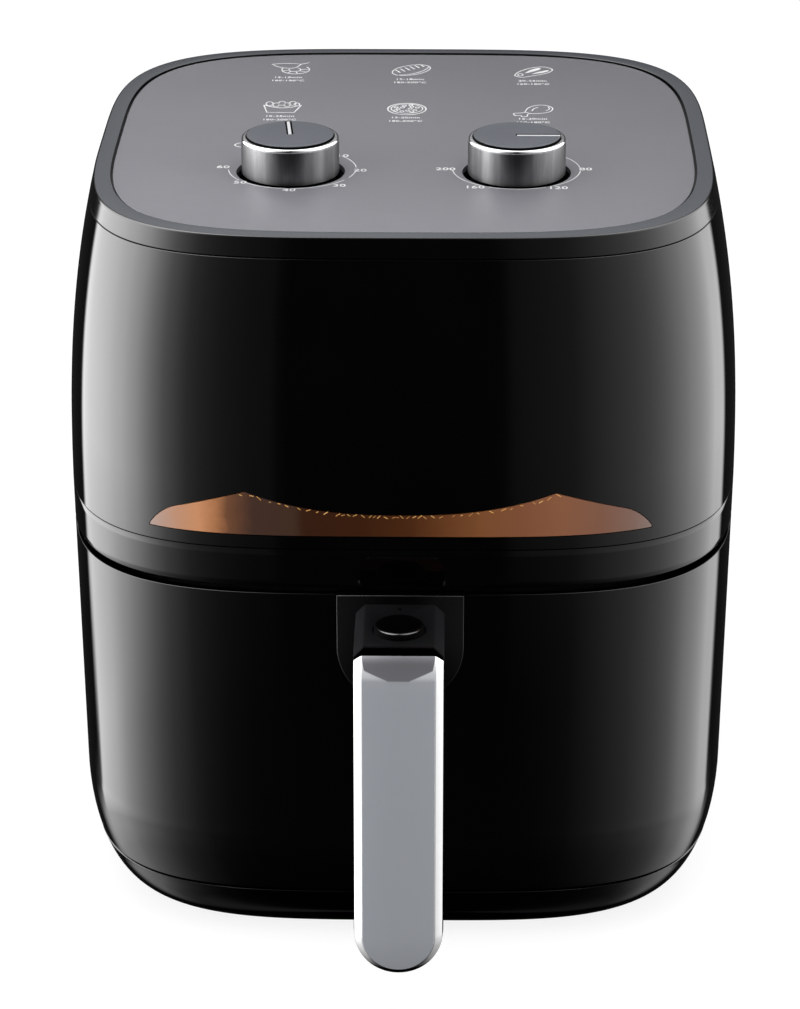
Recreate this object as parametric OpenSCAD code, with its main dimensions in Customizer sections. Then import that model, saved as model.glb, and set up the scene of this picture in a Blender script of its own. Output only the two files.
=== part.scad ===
/* [Body] */
// Width of the body at its widest point
body_w = 280; // [250:1:310]
// Depth of the body from front to back, without the handle
body_d = 290; // [262:1:322]
// Height of the body from the underside of the base to the top of the rim
body_h = 308.3; // [296:0.1:326]
// Squareness of the plan outline, where 2 is an ellipse
plan_power = 3.9; // [3.4:0.1:4.4]
// Thickness of the moulded outer shells
wall = 2.8; // [2:0.1:3.6]
// How far the shell draws in at the rim
crown_inset = 12.4; // [9:0.2:15]
// How far the side draws in below its widest point
low_inset = 1.8; // [0:0.1:2.4]
// How far the base rounds in at the underside
base_inset = 22.5; // [18:0.5:28]
// Height over which the base rounds in
base_round = 52; // [46:1:60]

/* [Levels] */
// Height of the feet
foot_h = 4; // [3:0.1:8]
// Height of the base tray
tray_h = 22.9; // [20:0.1:26]
// Thickness of the base tray's floor
tray_floor = 2.5; // [2:0.1:3.5]
// Fine gap below the drawer front
seam = 0.8; // [0.5:0.1:1.5]
// Height of the drawer front
front_h = 138; // [128:0.5:146]
// Gap between the drawer front and the belt
drawer_gap = 2.6; // [1.5:0.1:3.5]
// Height of the belt above the drawer
belt_h = 17; // [13:0.5:21]
// Height of the rim around the top panel
rim_h = 8.5; // [7:0.1:10]

/* [Top] */
// Width of the rim's flat band
rim_band = 6.8; // [5:0.1:9]
// Depth of the top panel below the rim
panel_sink = 0.6; // [0.2:0.1:1.2]
// Thickness of the top panel
panel_t = 2; // [1.5:0.1:2.5]
// Gap between the rim and the top panel
panel_gap = 0.5; // [0.3:0.1:0.8]
// Thickness of the deck below the top panel
deck_t = 2.5; // [2:0.1:3.5]

/* [Knobs] */
// Diameter of a knob's sleeve
knob_d = 40; // [36:0.5:43]
// Height of a knob above the top panel
knob_h = 15.8; // [12:0.2:20]
// Wall of a knob's sleeve
sleeve_t = 1.9; // [1.5:0.1:2.5]
// Diameter of the recess around a knob
well_d = 44.4; // [44:0.1:50]
// Depth of the recess around a knob, below the top panel
well_depth = 9; // [7:0.5:11]
// Wall of a knob's recess
well_t = 2; // [1.5:0.1:3]
// Distance between the two knobs
knob_pitch = 92.6; // [86:0.2:100]
// Distance of the knobs in front of the body's centre
knob_front = 47.7; // [44:0.1:54]
// Diameter of the control shafts
shaft_d = 6; // [5:0.1:7]
// Width of a knob's pointer
pointer_w = 1.6; // [1:0.1:2.4]
// Depth of a knob's pointer groove
pointer_t = 1; // [0.6:0.1:1.4]

/* [Window] */
// Width of the window from tip to tip
window_w = 201.8; // [180:0.2:210]
// Distance between the window's two peaks
peak_pitch = 124; // [110:1:130]
// Height of the window's peaks
window_h = 18.9; // [14:0.1:22]
// Height of the window at its centre
window_dip = 9.7; // [6:0.1:12]
// Distance of the window above the belt
window_lift = 5.5; // [4:0.1:9]
// Gap around the window lens
lens_gap = 0.3; // [0.2:0.05:0.5]
// Thickness of the window lens
lens_t = 2.4; // [1.8:0.1:2.6]

/* [Drawer] */
// Depth of the drawer front along the side of the body
front_wrap = 110; // [95:1:120]
// Clearance between the outer shell and the chamber liner
liner_inset = 15; // [13:0.5:18]
// Gap between the chamber liner and the pan
pan_gap = 6; // [4:0.5:8]
// Gap between the pan and the basket
basket_gap = 4; // [3:0.5:6]
// Thickness of the sheet-metal walls
sheet_t = 1.2; // [0.8:0.1:1.6]
// Distance of the pan's rim below the drawer front's top edge
pan_drop = 5.2; // [4:0.1:8]
// Height of the basket above the pan's floor
basket_lift = 10; // [6:0.5:14]
// Width of the basket's flange over the pan's rim
flange_w = 3; // [2:0.1:4]
// Height of the front's lower shelf above the pan's floor
shelf_up = 30; // [24:1:40]
// Distance of the front's upper shelf below its top edge
shelf_drop = 28; // [22:1:36]
// Thickness of the front's shelves
shelf_t = 3; // [2:0.1:4]
// Depth of the opening behind the surround plate
plate_room = 40; // [34:1:46]
// Travel of the drawer
drawer_travel = 235; // [200:1:250]

/* [Handle] */
// Width of the handle
handle_w = 36; // [30:0.5:42]
// Distance of the handle's bend in front of the body
handle_out = 38.7; // [36:0.1:50]
// Outer radius of the handle's bend
bend_r = 11.3; // [10.5:0.1:14]
// Height of the grip's tip above the drawer front's lower edge
tip_up = -4; // [-6:0.1:14]
// Forward tilt of the grip in degrees
grip_tilt = 3.5; // [0:0.5:6]
// Thickness of the handle's bright cover
cover_t = 9; // [7:0.1:9.6]
// Thickness of the grip behind the cover
core_t = 11; // [8:0.5:14]
// Bevel around the handle's front face
handle_bevel = 4; // [2.5:0.1:5]
// Thickness of the strip on the handle's front face
strip_t = 0.5; // [0.3:0.1:1]
// Height of the handle's arm
arm_h = 24; // [24:0.5:28]
// Distance of the arm's top below the drawer front's top edge
arm_drop = 3.8; // [3:0.1:6]
// Bevel along the arm's top edges
arm_bevel = 3.5; // [2:0.1:5]
// Width of the surround plate at the root of the handle
plate_w = 51.2; // [46:0.1:60]
// Height of the surround plate
plate_h = 48.7; // [44:0.1:56]
// Thickness of the surround plate
plate_t = 6; // [4:0.1:8]
// Gap around the surround plate
plate_gap = 0.4; // [0.3:0.05:0.8]

/* [Release] */
// Diameter of the release button
button_d = 20.5; // [16:0.5:22]
// Height of the release button above the arm
button_up = 2.6; // [2:0.1:4]
// Height of the release button's cap
button_cap = 6; // [5:0.1:7]
// Travel of the release button and of its latch
button_travel = 3.5; // [2.5:0.1:4]
// Distance of the release button in front of the body
button_out = 24.8; // [20:0.1:27]
// Diameter of the button's stem
stem_d = 7; // [6:0.1:8]
// Thickness of the latch bar
latch_t = 4; // [3.5:0.1:4.4]
// Width of the latch bar
latch_w = 16; // [14:0.5:18]

/* [Heater and fan] */
// Height of the works space between the ceiling and the rim
works_h = 53.8; // [52:0.2:58]
// Diameter of the heating element's outer turn
element_d = 180; // [160:2:190]
// Distance between the element's two turns
element_pitch = 18; // [14:1:20]
// Diameter of the heating element's tube
element_tube = 6.4; // [5:0.2:8]
// Distance of the heating element below the ceiling
element_drop = 23; // [21:0.5:26]
// Diameter of the hot air fan
fan_d = 120; // [100:2:126]
// Height of the fan blades
blade_h = 10; // [7:0.5:11]
// Diameter of the motor shaft
motor_shaft_d = 5; // [4:0.1:6]

/* [Rear] */
// Distance of the cord gland to the right of the centre
gland_x = 22; // [0:1:26]
// Height of the cord gland above the base tray
gland_up = 24; // [20:0.5:40]
// Diameter of the hole for the cord
cord_d = 7.2; // [6:0.1:8]
// Width of the rear air outlet
vent_w = 58; // [40:1:60]
// Height of the rear air outlet
vent_h = 54; // [40:1:60]

/* [Base] */
// Distance of the feet from the body's sides
foot_in = 52; // [44:1:64]
// Distance of the feet and base screws from the body's front and back
foot_back = 55; // [48:1:66]
// Distance of the base screws from the body's sides
post_in = 84; // [76:1:96]
// Length of the base screws in the tray
screw_l = 14; // [10:0.5:16]
// Width of the drawer runners
runner_w = 10; // [6:0.5:14]
// Distance of the drawer runners from the body's sides
runner_in = 62; // [56:1:72]
// Distance of the drawer runners from the body's front and back
runner_back = 55; // [48:1:64]
// Distance of the oven lamp from the body's sides
lamp_in = 62; // [56:1:70]
// Distance of the oven lamp from the body's front
lamp_back = 69; // [62:1:76]

/* [Fits] */
// Radial clearance of a running shaft
run_fit = 0.05; // [0.02:0.01:0.1]
// Clearance between free pieces
free_gap = 0.3; // [0.2:0.05:0.4]

/* [Hidden] */
$fn = 64;

// Overlap that joins the shapes of one moulding
weld = 0.4;
// Reach of a cutting shape past the surface it cuts
over = 1;
plan_sides = 64;
half_w = body_w / 2;
half_d = body_d / 2;
// The outline's flats lie at the body's full width and depth
plan_scale = 1 / pow(cos(180 / plan_sides), 2 / plan_power);

tray_top = foot_h + tray_h;
front_z = tray_top + seam;
front_top = front_z + front_h;
belt_z = front_top + drawer_gap;
shell_z = belt_z + belt_h;
top_z = foot_h + body_h;
rim_z = top_z - rim_h;
round_top = foot_h + base_round;

panel_top = top_z - panel_sink;
panel_z = panel_top - panel_t;
deck_z = panel_z - deck_t;
well_z = panel_top - well_depth;
well_under = well_z - well_t;
knob_top = panel_top + knob_h;
knob_base = well_z + 1.2;
cap_seat = knob_top - 8;
cap_lift = 0.9;

ceiling_t = 1.5;
ceiling_z = rim_z - works_h;
ceiling_top = ceiling_z + ceiling_t;

pan_inset = liner_inset + pan_gap;
basket_inset = pan_inset + basket_gap;
runner_h = 3;
floor_t = 2;
floor_z = tray_top + seam;
floor_top = floor_z + floor_t;
pan_z = floor_top + runner_h + free_gap;
pan_top = front_top - pan_drop;
basket_z = pan_z + basket_lift;
front_cut = front_wrap - half_d;
shelf_edge = 4;

arm_top = front_top - arm_drop;
arm_z = arm_top - arm_h;
bend_y = -half_d - handle_out;
bend_z = arm_top - bend_r;
button_y = -half_d - button_out;
well_floor = arm_top - 10.5;
channel_z = arm_top - 21.4;
pan_face = half_d - pan_inset;
basket_face = half_d - basket_inset;
catch_t = 1.6;

gland_flange = 2.8;
gland_r = 7.5;
gland_z = tray_top + gland_up;
// The flange sits clear of the wall's tapering foot
gland_seat = half_d - side_in(gland_z + gland_r + 3);
// Length of the grip below the bend, and its reach in front of the body's centre
grip_len = (bend_z - front_z - tip_up) / cos(grip_tilt);
front_reach = -bend_y + (grip_len - handle_bevel) * sin(grip_tilt) + (bend_r + strip_t) * cos(grip_tilt);

fan_r = fan_d / 2;
shaft_r = shaft_d / 2;
motor_r = motor_shaft_d / 2;
element_z = ceiling_z - element_drop;
guard_z = element_z - 11;
guard_r = element_d / 2 + 10;
motor_z = ceiling_top + 13;
stator_z = motor_z + 2;
stator_h = 18;
stator_w = 56;
stator_d = 44;
rotor_r = 13.5;
cooling_r = 38;
motor_top = stator_z + stator_h;

function side(v) = v < 0 ? -1 : 1;

// Plan outline of the body, drawn in by an inset
function plan(inset) = [for (i = [0:plan_sides - 1])
    let (t = 360 * (i + 0.5) / plan_sides)
    [(half_w - inset) * plan_scale * side(cos(t)) * pow(abs(cos(t)), 2 / plan_power),
     (half_d - inset) * plan_scale * side(sin(t)) * pow(abs(sin(t)), 2 / plan_power)]];

// Inset of the outer surface at a height
function base_in(z) = z >= round_top ? 0
    : base_inset * (1 - sqrt(max(0, 1 - pow((round_top - z) / base_round, 2))));
function low_in(z) = low_inset * min(1, max(0, (shell_z - z) / (shell_z - round_top)));
function crown_in(z) = crown_inset * pow(max(0, (z - shell_z) / (top_z - shell_z)), 2.5);
function side_in(z) = base_in(z) + low_in(z) + crown_in(z);

// The whole part, with its handle and gland, is centred on the origin
back_reach = gland_seat + gland_flange;
body_y = (front_reach - back_reach) / 2;

function steps(a, b, count) = [for (i = [0:count]) a + (b - a) * i / count];
function reversed(list) = [for (i = [len(list) - 1:-1:0]) list[i]];

// Section of a wall whose outer side follows the body, as heights and insets
function wall_section(z0, z1, count, outer, inner) = concat(
    [for (z = steps(z0, z1, count)) [z, side_in(z) + outer]],
    [for (z = reversed(steps(z0, z1, count))) [z, side_in(z) + inner]]);

// Wall carried round the plan outline from a closed section
module plan_ring(section) {
    count = len(section);
    points = [for (s = section) for (p = plan(s[1])) [p.x, p.y, s[0]]];
    faces = [for (i = [0:count - 1]) for (j = [0:plan_sides - 1])
        let (k = (i + 1) % count, m = (j + 1) % plan_sides)
        each [[k * plan_sides + m, i * plan_sides + m, i * plan_sides + j],
              [k * plan_sides + j, k * plan_sides + m, i * plan_sides + j]]];
    polyhedron(points, faces);
}

// Solid through rings of points that all have the same count
module loft(rings) {
    sides = len(rings[0]);
    count = len(rings);
    points = [for (r = rings) each r];
    walls = [for (i = [0:count - 2]) for (j = [0:sides - 1])
        let (m = (j + 1) % sides)
        each [[(i + 1) * sides + m, i * sides + m, i * sides + j],
              [(i + 1) * sides + j, (i + 1) * sides + m, i * sides + j]]];
    polyhedron(points, concat(walls,
        [[for (j = [0:sides - 1]) j]],
        [[for (j = [sides - 1:-1:0]) (count - 1) * sides + j]]));
}

module placed() {
    translate([0, body_y, 0]) children();
}

module plan_plate(inset, z, h) {
    translate([0, 0, z]) linear_extrude(h) polygon(plan(inset));
}

module plan_tube(outer, inner, z, h) {
    translate([0, 0, z]) linear_extrude(h) difference() {
        polygon(plan(outer));
        polygon(plan(inner));
    }
}

// Box from its lowest to its highest corner
module block(low, high) {
    translate(low) cube(high - low);
}

module rod(x, y, z, r, h) {
    translate([x, y, z]) cylinder(h = h, r = r);
}

module at_knob(right) {
    translate([right * knob_pitch / 2, -knob_front, 0]) children();
}

// ---- Base ----

foot_x = half_w - foot_in;
foot_y = half_d - foot_back;
foot_r = 11;
peg_r = 4;
post_x = half_w - post_in;
post_y = half_d - foot_back;
post_r = 5;
screw_r = 1.75;

module at_corners(x, y) {
    for (i = [-1, 1]) for (j = [-1, 1]) translate([i * x, j * y, 0]) children();
}

module base_tray() {
    start = 90;
    finish = asin((round_top - tray_top) / base_round);
    heights = [for (a = steps(start, finish, 6)) round_top - base_round * sin(a)];
    inner = [for (z = reversed(heights)) if (z > foot_h + tray_floor) [z, side_in(z) + wall]];
    bottom = base_inset + low_inset;
    color("#141414") placed() difference() {
        union() {
            plan_ring(concat([for (z = heights) [z, side_in(z)]], inner,
                [[foot_h + tray_floor, bottom + 1], [foot_h, bottom + 6]]));
            plan_plate(bottom + 2, foot_h, tray_floor);
        }
        at_corners(foot_x, foot_y) rod(0, 0, foot_h - over, peg_r + run_fit, tray_floor + 2 * over);
        at_corners(post_x, post_y) rod(0, 0, foot_h - over, screw_r + run_fit, tray_floor + 2 * over);
        for (i = [-4:4]) block([i * 12 - 2, -30, foot_h - over], [i * 12 + 2, 30, foot_h + tray_floor + over]);
    }
}

module feet() {
    color("#1c1c1c") placed() at_corners(foot_x, foot_y) {
        cylinder(h = foot_h, r = foot_r);
        rod(0, 0, foot_h - weld, peg_r, tray_floor + weld);
    }
}

module chassis_floor() {
    color("#5c5f62") placed() difference() {
        union() {
            plan_plate(liner_inset - 1, floor_z, floor_t);
            at_corners(post_x, post_y) rod(0, 0, foot_h + tray_floor, post_r, floor_z + weld - foot_h - tray_floor);
        }
        at_corners(post_x, post_y) rod(0, 0, foot_h, screw_r + run_fit, 16);
    }
}

module base_screws() {
    color("silver") placed() at_corners(post_x, post_y) {
        rod(0, 0, foot_h - 2, 3.2, 2);
        rod(0, 0, foot_h - weld, screw_r, screw_l + weld);
    }
}

runner_x = half_w - runner_in;
runner_l = body_d - 2 * runner_back;

module drawer_runners() {
    color("#2a2a2a") placed() for (i = [-1, 1])
        block([i * runner_x - runner_w / 2, -runner_l / 2, floor_top],
            [i * runner_x + runner_w / 2, runner_l / 2, floor_top + runner_h]);
}

// ---- Housing ----

module lower_housing() {
    color("#0d0d0d") placed() difference() {
        plan_ring(wall_section(tray_top, belt_z, 7, 0, wall));
        block([-half_w - over, -half_d - over, tray_top - over],
            [half_w + over, front_cut + seam / 2, belt_z + over]);
        translate([gland_x, half_d + over, gland_z]) rotate([90, 0, 0])
            cylinder(h = wall + low_inset + base_inset, r = gland_r + run_fit);
    }
}

module belt_ring() {
    groove = 0.5;
    color("#0f0f0f") placed() plan_ring([
        [belt_z, side_in(belt_z) + groove], [belt_z + 1, side_in(belt_z + 1)],
        [shell_z - 1, side_in(shell_z - 1)], [shell_z, side_in(shell_z) + groove],
        [shell_z, side_in(shell_z) + wall + 2], [shell_z - 3, side_in(shell_z) + wall + 2],
        [belt_z + 3, liner_inset - free_gap], [belt_z, liner_inset - free_gap]]);
}

// Wing-shaped window outline across the front, as widths and heights
window_z = shell_z + window_lift;
function window_top(x) = let (p = peak_pitch / 2, e = window_w / 2)
    x < p ? window_dip + (window_h - window_dip) * pow(x / p, 2.4)
    : (window_h - 1.2) * pow(max(0, 1 - pow((x - p) / (e - p), 1.7)), 0.8) + 1.2;
function window_outline(gap) = let (e = window_w / 2 - gap,
    xs = concat(steps(0, peak_pitch / 2, 6), [for (s = steps(0.15, 1, 7)) peak_pitch / 2 + (e - peak_pitch / 2) * s]),
    tops = [for (x = xs) [x, window_top(min(x + gap / 2, window_w / 2)) - gap]])
    concat([for (p = tops) p], [[e, gap], [-e, gap]],
        [for (p = reversed(tops)) if (p.x > 0) [-p.x, p.y]]);

module window_prism(gap) {
    translate([0, 0, window_z]) rotate([90, 0, 0])
        translate([0, 0, half_d / 2]) linear_extrude(half_d / 2 + over)
        polygon(window_outline(gap));
}

vent_z = (shell_z + rim_z - vent_h) / 2;

module vent_block(gap) {
    block([-vent_w / 2 + gap, half_d - wall - crown_inset - over, vent_z + gap],
        [vent_w / 2 - gap, half_d + over, vent_z + vent_h - gap]);
}

module upper_shell() {
    color("#0b0b0b") placed() difference() {
        plan_ring(wall_section(shell_z, rim_z, 9, 0, wall));
        window_prism(0);
        vent_block(0);
    }
}

module window_lens() {
    color("#8a5a24", 0.7) placed() intersection() {
        plan_ring(wall_section(window_z - over, window_z + window_h + over, 2, 0, lens_t));
        window_prism(lens_gap);
    }
}

module exhaust_grille() {
    slots = 7;
    pitch = (vent_h - 4) / slots;
    color("#151515") placed() difference() {
        intersection() {
            plan_ring(wall_section(vent_z - over, vent_z + vent_h + over, 4, 0, wall));
            vent_block(run_fit);
        }
        for (i = [0:slots - 1])
            block([-vent_w / 2 + 5, half_d - wall - crown_inset - over, vent_z + 4 + i * pitch],
                [vent_w / 2 - 5, half_d + over, vent_z + 4 + i * pitch + pitch * 0.55]);
    }
}

module top_cover() {
    band = crown_inset + rim_band;
    edge = 0.8;
    color("#101010") placed() difference() {
        union() {
            plan_ring([
                [rim_z, side_in(rim_z) + edge], [rim_z + 1, side_in(rim_z + 1) + 0.1],
                [top_z - edge, side_in(top_z - edge)], [top_z, crown_inset + edge],
                [top_z, band], [deck_z, band], [deck_z, band - 2],
                [rim_z + 2, band - 2], [rim_z, side_in(rim_z) + wall]]);
            plan_plate(band - weld, deck_z, deck_t);
            for (i = [-1, 1]) at_knob(i) rod(0, 0, well_under, well_d / 2 + well_t, deck_z + deck_t - well_under);
        }
        for (i = [-1, 1]) at_knob(i) {
            rod(0, 0, well_z, well_d / 2, well_depth + over);
            rod(0, 0, well_under - over, shaft_r + 0.8, well_t + 2 * over);
        }
    }
}

module top_panel() {
    color("#77797b") placed() difference() {
        plan_plate(crown_inset + rim_band + panel_gap, panel_z, panel_t);
        for (i = [-1, 1]) at_knob(i) rod(0, 0, panel_z - over, well_d / 2, panel_t + 2 * over);
    }
}

module cord_gland() {
    color("#121212") placed() translate([gland_x, gland_seat + gland_flange, gland_z]) rotate([90, 0, 0])
        difference() {
            union() {
                cylinder(h = gland_flange, r = gland_r + 3);
                cylinder(h = gland_flange + wall + 6, r = gland_r);
            }
            translate([0, 0, -over]) cylinder(h = gland_flange + wall + 6 + 2 * over, r = cord_d / 2);
        }
}

// ---- Chamber ----

module chamber_liner() {
    color("#b9bcbe") placed() difference() {
        plan_tube(liner_inset, liner_inset + sheet_t, floor_top, ceiling_z - floor_top);
        block([-half_w, -half_d, floor_top - over], [half_w, front_cut + seam, belt_z + 3.5]);
        block([-window_w / 2 + 2, -half_d, window_z], [window_w / 2 - 2, -half_d / 2, window_z + window_h]);
    }
}

module inner_glass() {
    color("#c98a3a", 0.5) placed() intersection() {
        plan_tube(liner_inset - lens_t, liner_inset, window_z - 3, window_h + 6);
        block([-window_w / 2, -half_d, window_z - 4], [window_w / 2, -half_d / 2 + 4, window_z + window_h + 4]);
    }
}

lamp_x = half_w - lamp_in;
lamp_y = half_d - lamp_back;

module ceiling_plate() {
    color("#a9acae") placed() difference() {
        plan_plate(liner_inset - 2, ceiling_z, ceiling_t);
        rod(0, 0, ceiling_z - over, motor_r + 1.5, ceiling_t + 2 * over);
        for (s = [0, 1]) rod(spiral(s).x, spiral(s).y, ceiling_z - over,
            element_tube / 2 + 0.3 + run_fit, ceiling_t + 2 * over);
        rod(lamp_x, -lamp_y, ceiling_z - over, 8, ceiling_t + 2 * over);
    }
}

// Spiral of the heating element, from its outer turn to its inner turn
element_turns = 2;
element_end = 7;
function spiral(s) = let (a = 90 + element_end + s * (360 * element_turns - 2 * element_end))
    [(element_d / 2 - element_pitch * s) * cos(a), (element_d / 2 - element_pitch * s) * sin(a), a];

module heating_element() {
    r = element_tube / 2;
    count = 72;
    color("#6a6a6c") placed() union() {
        translate([0, 0, element_z]) loft([for (i = [0:count])
            let (p = spiral(i / count))
            [for (b = [0:36:324]) [p.x + r * sin(b) * cos(p.z), p.y + r * sin(b) * sin(p.z), r * cos(b)]]]);
        for (s = [0, 1]) rod(spiral(s).x, spiral(s).y, element_z, r + 0.3, ceiling_top + 12 - element_z);
    }
}

module element_clips() {
    mid = element_d / 2 - element_pitch / 2;
    top = element_z + element_tube / 2;
    color("silver") placed() for (a = [30, 150, 270]) rotate(a) {
        block([mid - element_pitch / 2 - 3, -4, top], [mid + element_pitch / 2 + 3, 4, top + 1.5]);
        rod(mid, 0, top + 1, 2.2, ceiling_z - top - 1);
    }
}

module element_guard() {
    wire = 2.4;
    color("#c0c2c4") placed() union() {
        for (d = [0.25, 0.5, 0.75, 1]) translate([0, 0, guard_z]) rotate_extrude()
            translate([guard_r * d - wire, 0]) square([wire, wire]);
        for (a = [0, 45, 90, 135]) rotate(a)
            block([-guard_r + wire / 2, -wire / 2, guard_z + 0.2], [guard_r - wire / 2, wire / 2, guard_z + wire - 0.2]);
        for (a = [22, 112, 202, 292]) rotate(a)
            rod(guard_r - wire / 2, 0, guard_z + wire / 2, wire / 2 - 0.2, ceiling_z - guard_z - wire / 2);
    }
}

module motor_base() {
    color("#8f9294") placed() difference() {
        union() {
            block([-cooling_r - 4, -stator_d / 2, motor_z], [cooling_r + 4, stator_d / 2, stator_z]);
            rod(0, 0, motor_z - 3, 6, 4);
            for (i = [-1, 1]) for (j = [-1, 1])
                rod(i * cooling_r, j * (stator_d / 2 - 3), ceiling_top, 3, motor_z + weld - ceiling_top);
        }
        rod(0, 0, motor_z - 5, motor_r + run_fit, 12);
    }
}

module motor_stator() {
    color("#707376") placed() difference() {
        block([-stator_w / 2, -stator_d / 2, stator_z], [stator_w / 2, stator_d / 2, motor_top]);
        rod(0, 0, stator_z - over, rotor_r + 0.5, stator_h + 2 * over);
    }
}

module motor_coil() {
    color("#b36b32") placed()
        block([-16, stator_d / 2, stator_z - 1], [16, stator_d / 2 + 13, motor_top + 1]);
}

module motor_cap() {
    color("#8f9294") placed() difference() {
        union() {
            block([-stator_w / 2, -7, motor_top], [stator_w / 2, 7, motor_top + 2]);
            rod(0, 0, motor_top + 1, 6, 5);
        }
        rod(0, 0, motor_top - over, motor_r + run_fit, 9);
    }
}

module motor_shaft() {
    low = ceiling_z - blade_h - 5;
    color("silver") placed() rod(0, 0, low, motor_r, motor_top + 8 - low);
}

module motor_rotor() {
    color("#a5a7a9") placed() difference() {
        rod(0, 0, stator_z + 1.5, rotor_r, stator_h - 3);
        rod(0, 0, stator_z, motor_r, stator_h);
    }
}

module fan(r, z, h, blades) {
    difference() {
        union() {
            rod(0, 0, z + h - 1.2, r, 1.2);
            rod(0, 0, z, 6, h);
            for (a = [0:blades - 1]) rotate(a * 360 / blades) block([5, -0.5, z], [r - 2, 0.5, z + h - 0.5]);
        }
        rod(0, 0, z - over, motor_r, h + 2 * over);
    }
}

module hot_air_fan() {
    color("#9b9ea0") placed() fan(fan_r, ceiling_z - blade_h - 4, blade_h, 8);
}

module cooling_fan() {
    color("#d8d8d6") placed() fan(cooling_r, ceiling_top + 2, 7, 9);
}

// ---- Controls ----

body_side = 44;
body_drop = 26;

module control_body() {
    difference() {
        translate([-body_side / 2, -body_side / 2, well_under - body_drop])
            cube([body_side, body_side, body_drop]);
        rod(0, 0, well_under - body_drop + 6, shaft_r + run_fit, body_drop);
    }
}

module timer_body() {
    color("#d9d4c4") placed() at_knob(-1) control_body();
}

module timer_bell() {
    color("silver") placed() at_knob(-1) {
        rod(0, 0, well_under - body_drop - 5, 3, 5);
        rod(0, 0, well_under - body_drop - 6.5, 15, 1.5);
    }
}

module thermostat_body() {
    color("#3a2e26") placed() at_knob(1) control_body();
}

module thermostat_bulb() {
    x = body_side / 2 + 3;
    color("#c28a5a") placed() at_knob(1) {
        rod(x, 0, ceiling_top, 2.5, well_under - 12 - ceiling_top);
        translate([body_side / 2, 0, well_under - 12]) rotate([0, 90, 0]) cylinder(h = 5, r = 1.2);
    }
}

module sleeve() {
    r = knob_d / 2;
    bevel = 1;
    rotate_extrude() polygon([
        [r - sleeve_t, knob_base], [r, knob_base], [r, knob_top - cap_lift - bevel],
        [r - bevel, knob_top - cap_lift], [r - sleeve_t, knob_top - cap_lift],
        [r - sleeve_t, cap_seat], [r - sleeve_t - 3, cap_seat], [r - sleeve_t - 3, cap_seat - 2],
        [r - sleeve_t, cap_seat - 2]]);
}

module cap() {
    r = knob_d / 2 - sleeve_t - run_fit;
    difference() {
        rotate_extrude() polygon([
            [0, knob_base + 1], [7, knob_base + 1], [7, cap_seat], [r, cap_seat],
            [r, knob_top - 0.8], [r - 0.8, knob_top], [0, knob_top]]);
        rod(0, 0, knob_base, shaft_r, cap_seat - knob_base);
        translate([-pointer_w / 2, 0, knob_top - pointer_t]) cube([pointer_w, r - 1, pointer_t + over]);
    }
}

module pointer() {
    r = knob_d / 2 - sleeve_t - run_fit;
    translate([-pointer_w / 2 + run_fit, run_fit, knob_top - pointer_t])
        cube([pointer_w - 2 * run_fit, r - 1 - 2 * run_fit, pointer_t - 0.1]);
}

module control_shaft() {
    low = well_under - body_drop + 8;
    rod(0, 0, low, shaft_r, cap_seat - low);
}

timer_angle = 5;
thermostat_angle = -90;

module timer_sleeve() {
    color("#c9ccce") placed() at_knob(-1) sleeve();
}

module timer_cap() {
    color("#585d64") placed() at_knob(-1) rotate(timer_angle) cap();
}

module timer_pointer() {
    color("white") placed() at_knob(-1) rotate(timer_angle) pointer();
}

module timer_shaft() {
    color("silver") placed() at_knob(-1) control_shaft();
}

module thermostat_sleeve() {
    color("#c9ccce") placed() at_knob(1) sleeve();
}

module thermostat_cap() {
    color("#585d64") placed() at_knob(1) rotate(thermostat_angle) cap();
}

module thermostat_pointer() {
    color("white") placed() at_knob(1) rotate(thermostat_angle) pointer();
}

module thermostat_shaft() {
    color("silver") placed() at_knob(1) control_shaft();
}

// ---- Electrics ----

module oven_lamp() {
    color("#f2e3b0") placed() translate([lamp_x, -lamp_y, 0]) {
        rod(0, 0, ceiling_top, 10, 8);
        rod(0, 0, ceiling_z - 9, 6, 9 + ceiling_t + weld);
        translate([0, 0, ceiling_z - 9]) sphere(r = 6, $fn = 32);
    }
}

module lamp_cover() {
    color("#e8e2d0", 0.5) placed() translate([lamp_x, -lamp_y, 0]) difference() {
        rod(0, 0, ceiling_z - 19, 12, 19);
        rod(0, 0, ceiling_z - 17.5, 10.5, 17.5 + over);
    }
}

module door_switch() {
    x = half_w - liner_inset;
    color("#20242a") placed() block([x, -20, front_top - 30], [x + 7, 0, front_top - 18]);
}

block_x = 56;
block_y = 62;

module terminal_block() {
    color("#e7e3d6") placed() difference() {
        block([block_x - 20, block_y - 8, ceiling_top], [block_x + 20, block_y + 8, ceiling_top + 12]);
        for (i = [-1, 0, 1]) rod(block_x + i * 12, block_y, ceiling_top + 4, 3, 12);
    }
}

module thermal_fuse() {
    color("#cfc6a8") placed() translate([-60, 50, ceiling_top + 4]) rotate([0, 90, 0])
        cylinder(h = 22, r = 4);
}

// Wire along straight runs that meet at its corners
module wire(route, r) {
    for (i = [0:len(route) - 2]) {
        run = route[i + 1] - route[i];
        flat = norm([run.x, run.y]);
        first = i == 0 ? 0 : r;
        last = i == len(route) - 2 ? 0 : r;
        translate(route[i]) rotate([0, atan2(flat, run.z), atan2(run.y, run.x)])
            translate([0, 0, -first]) cylinder(h = norm(run) + first + last, r = r, $fn = 8);
    }
}

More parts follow.
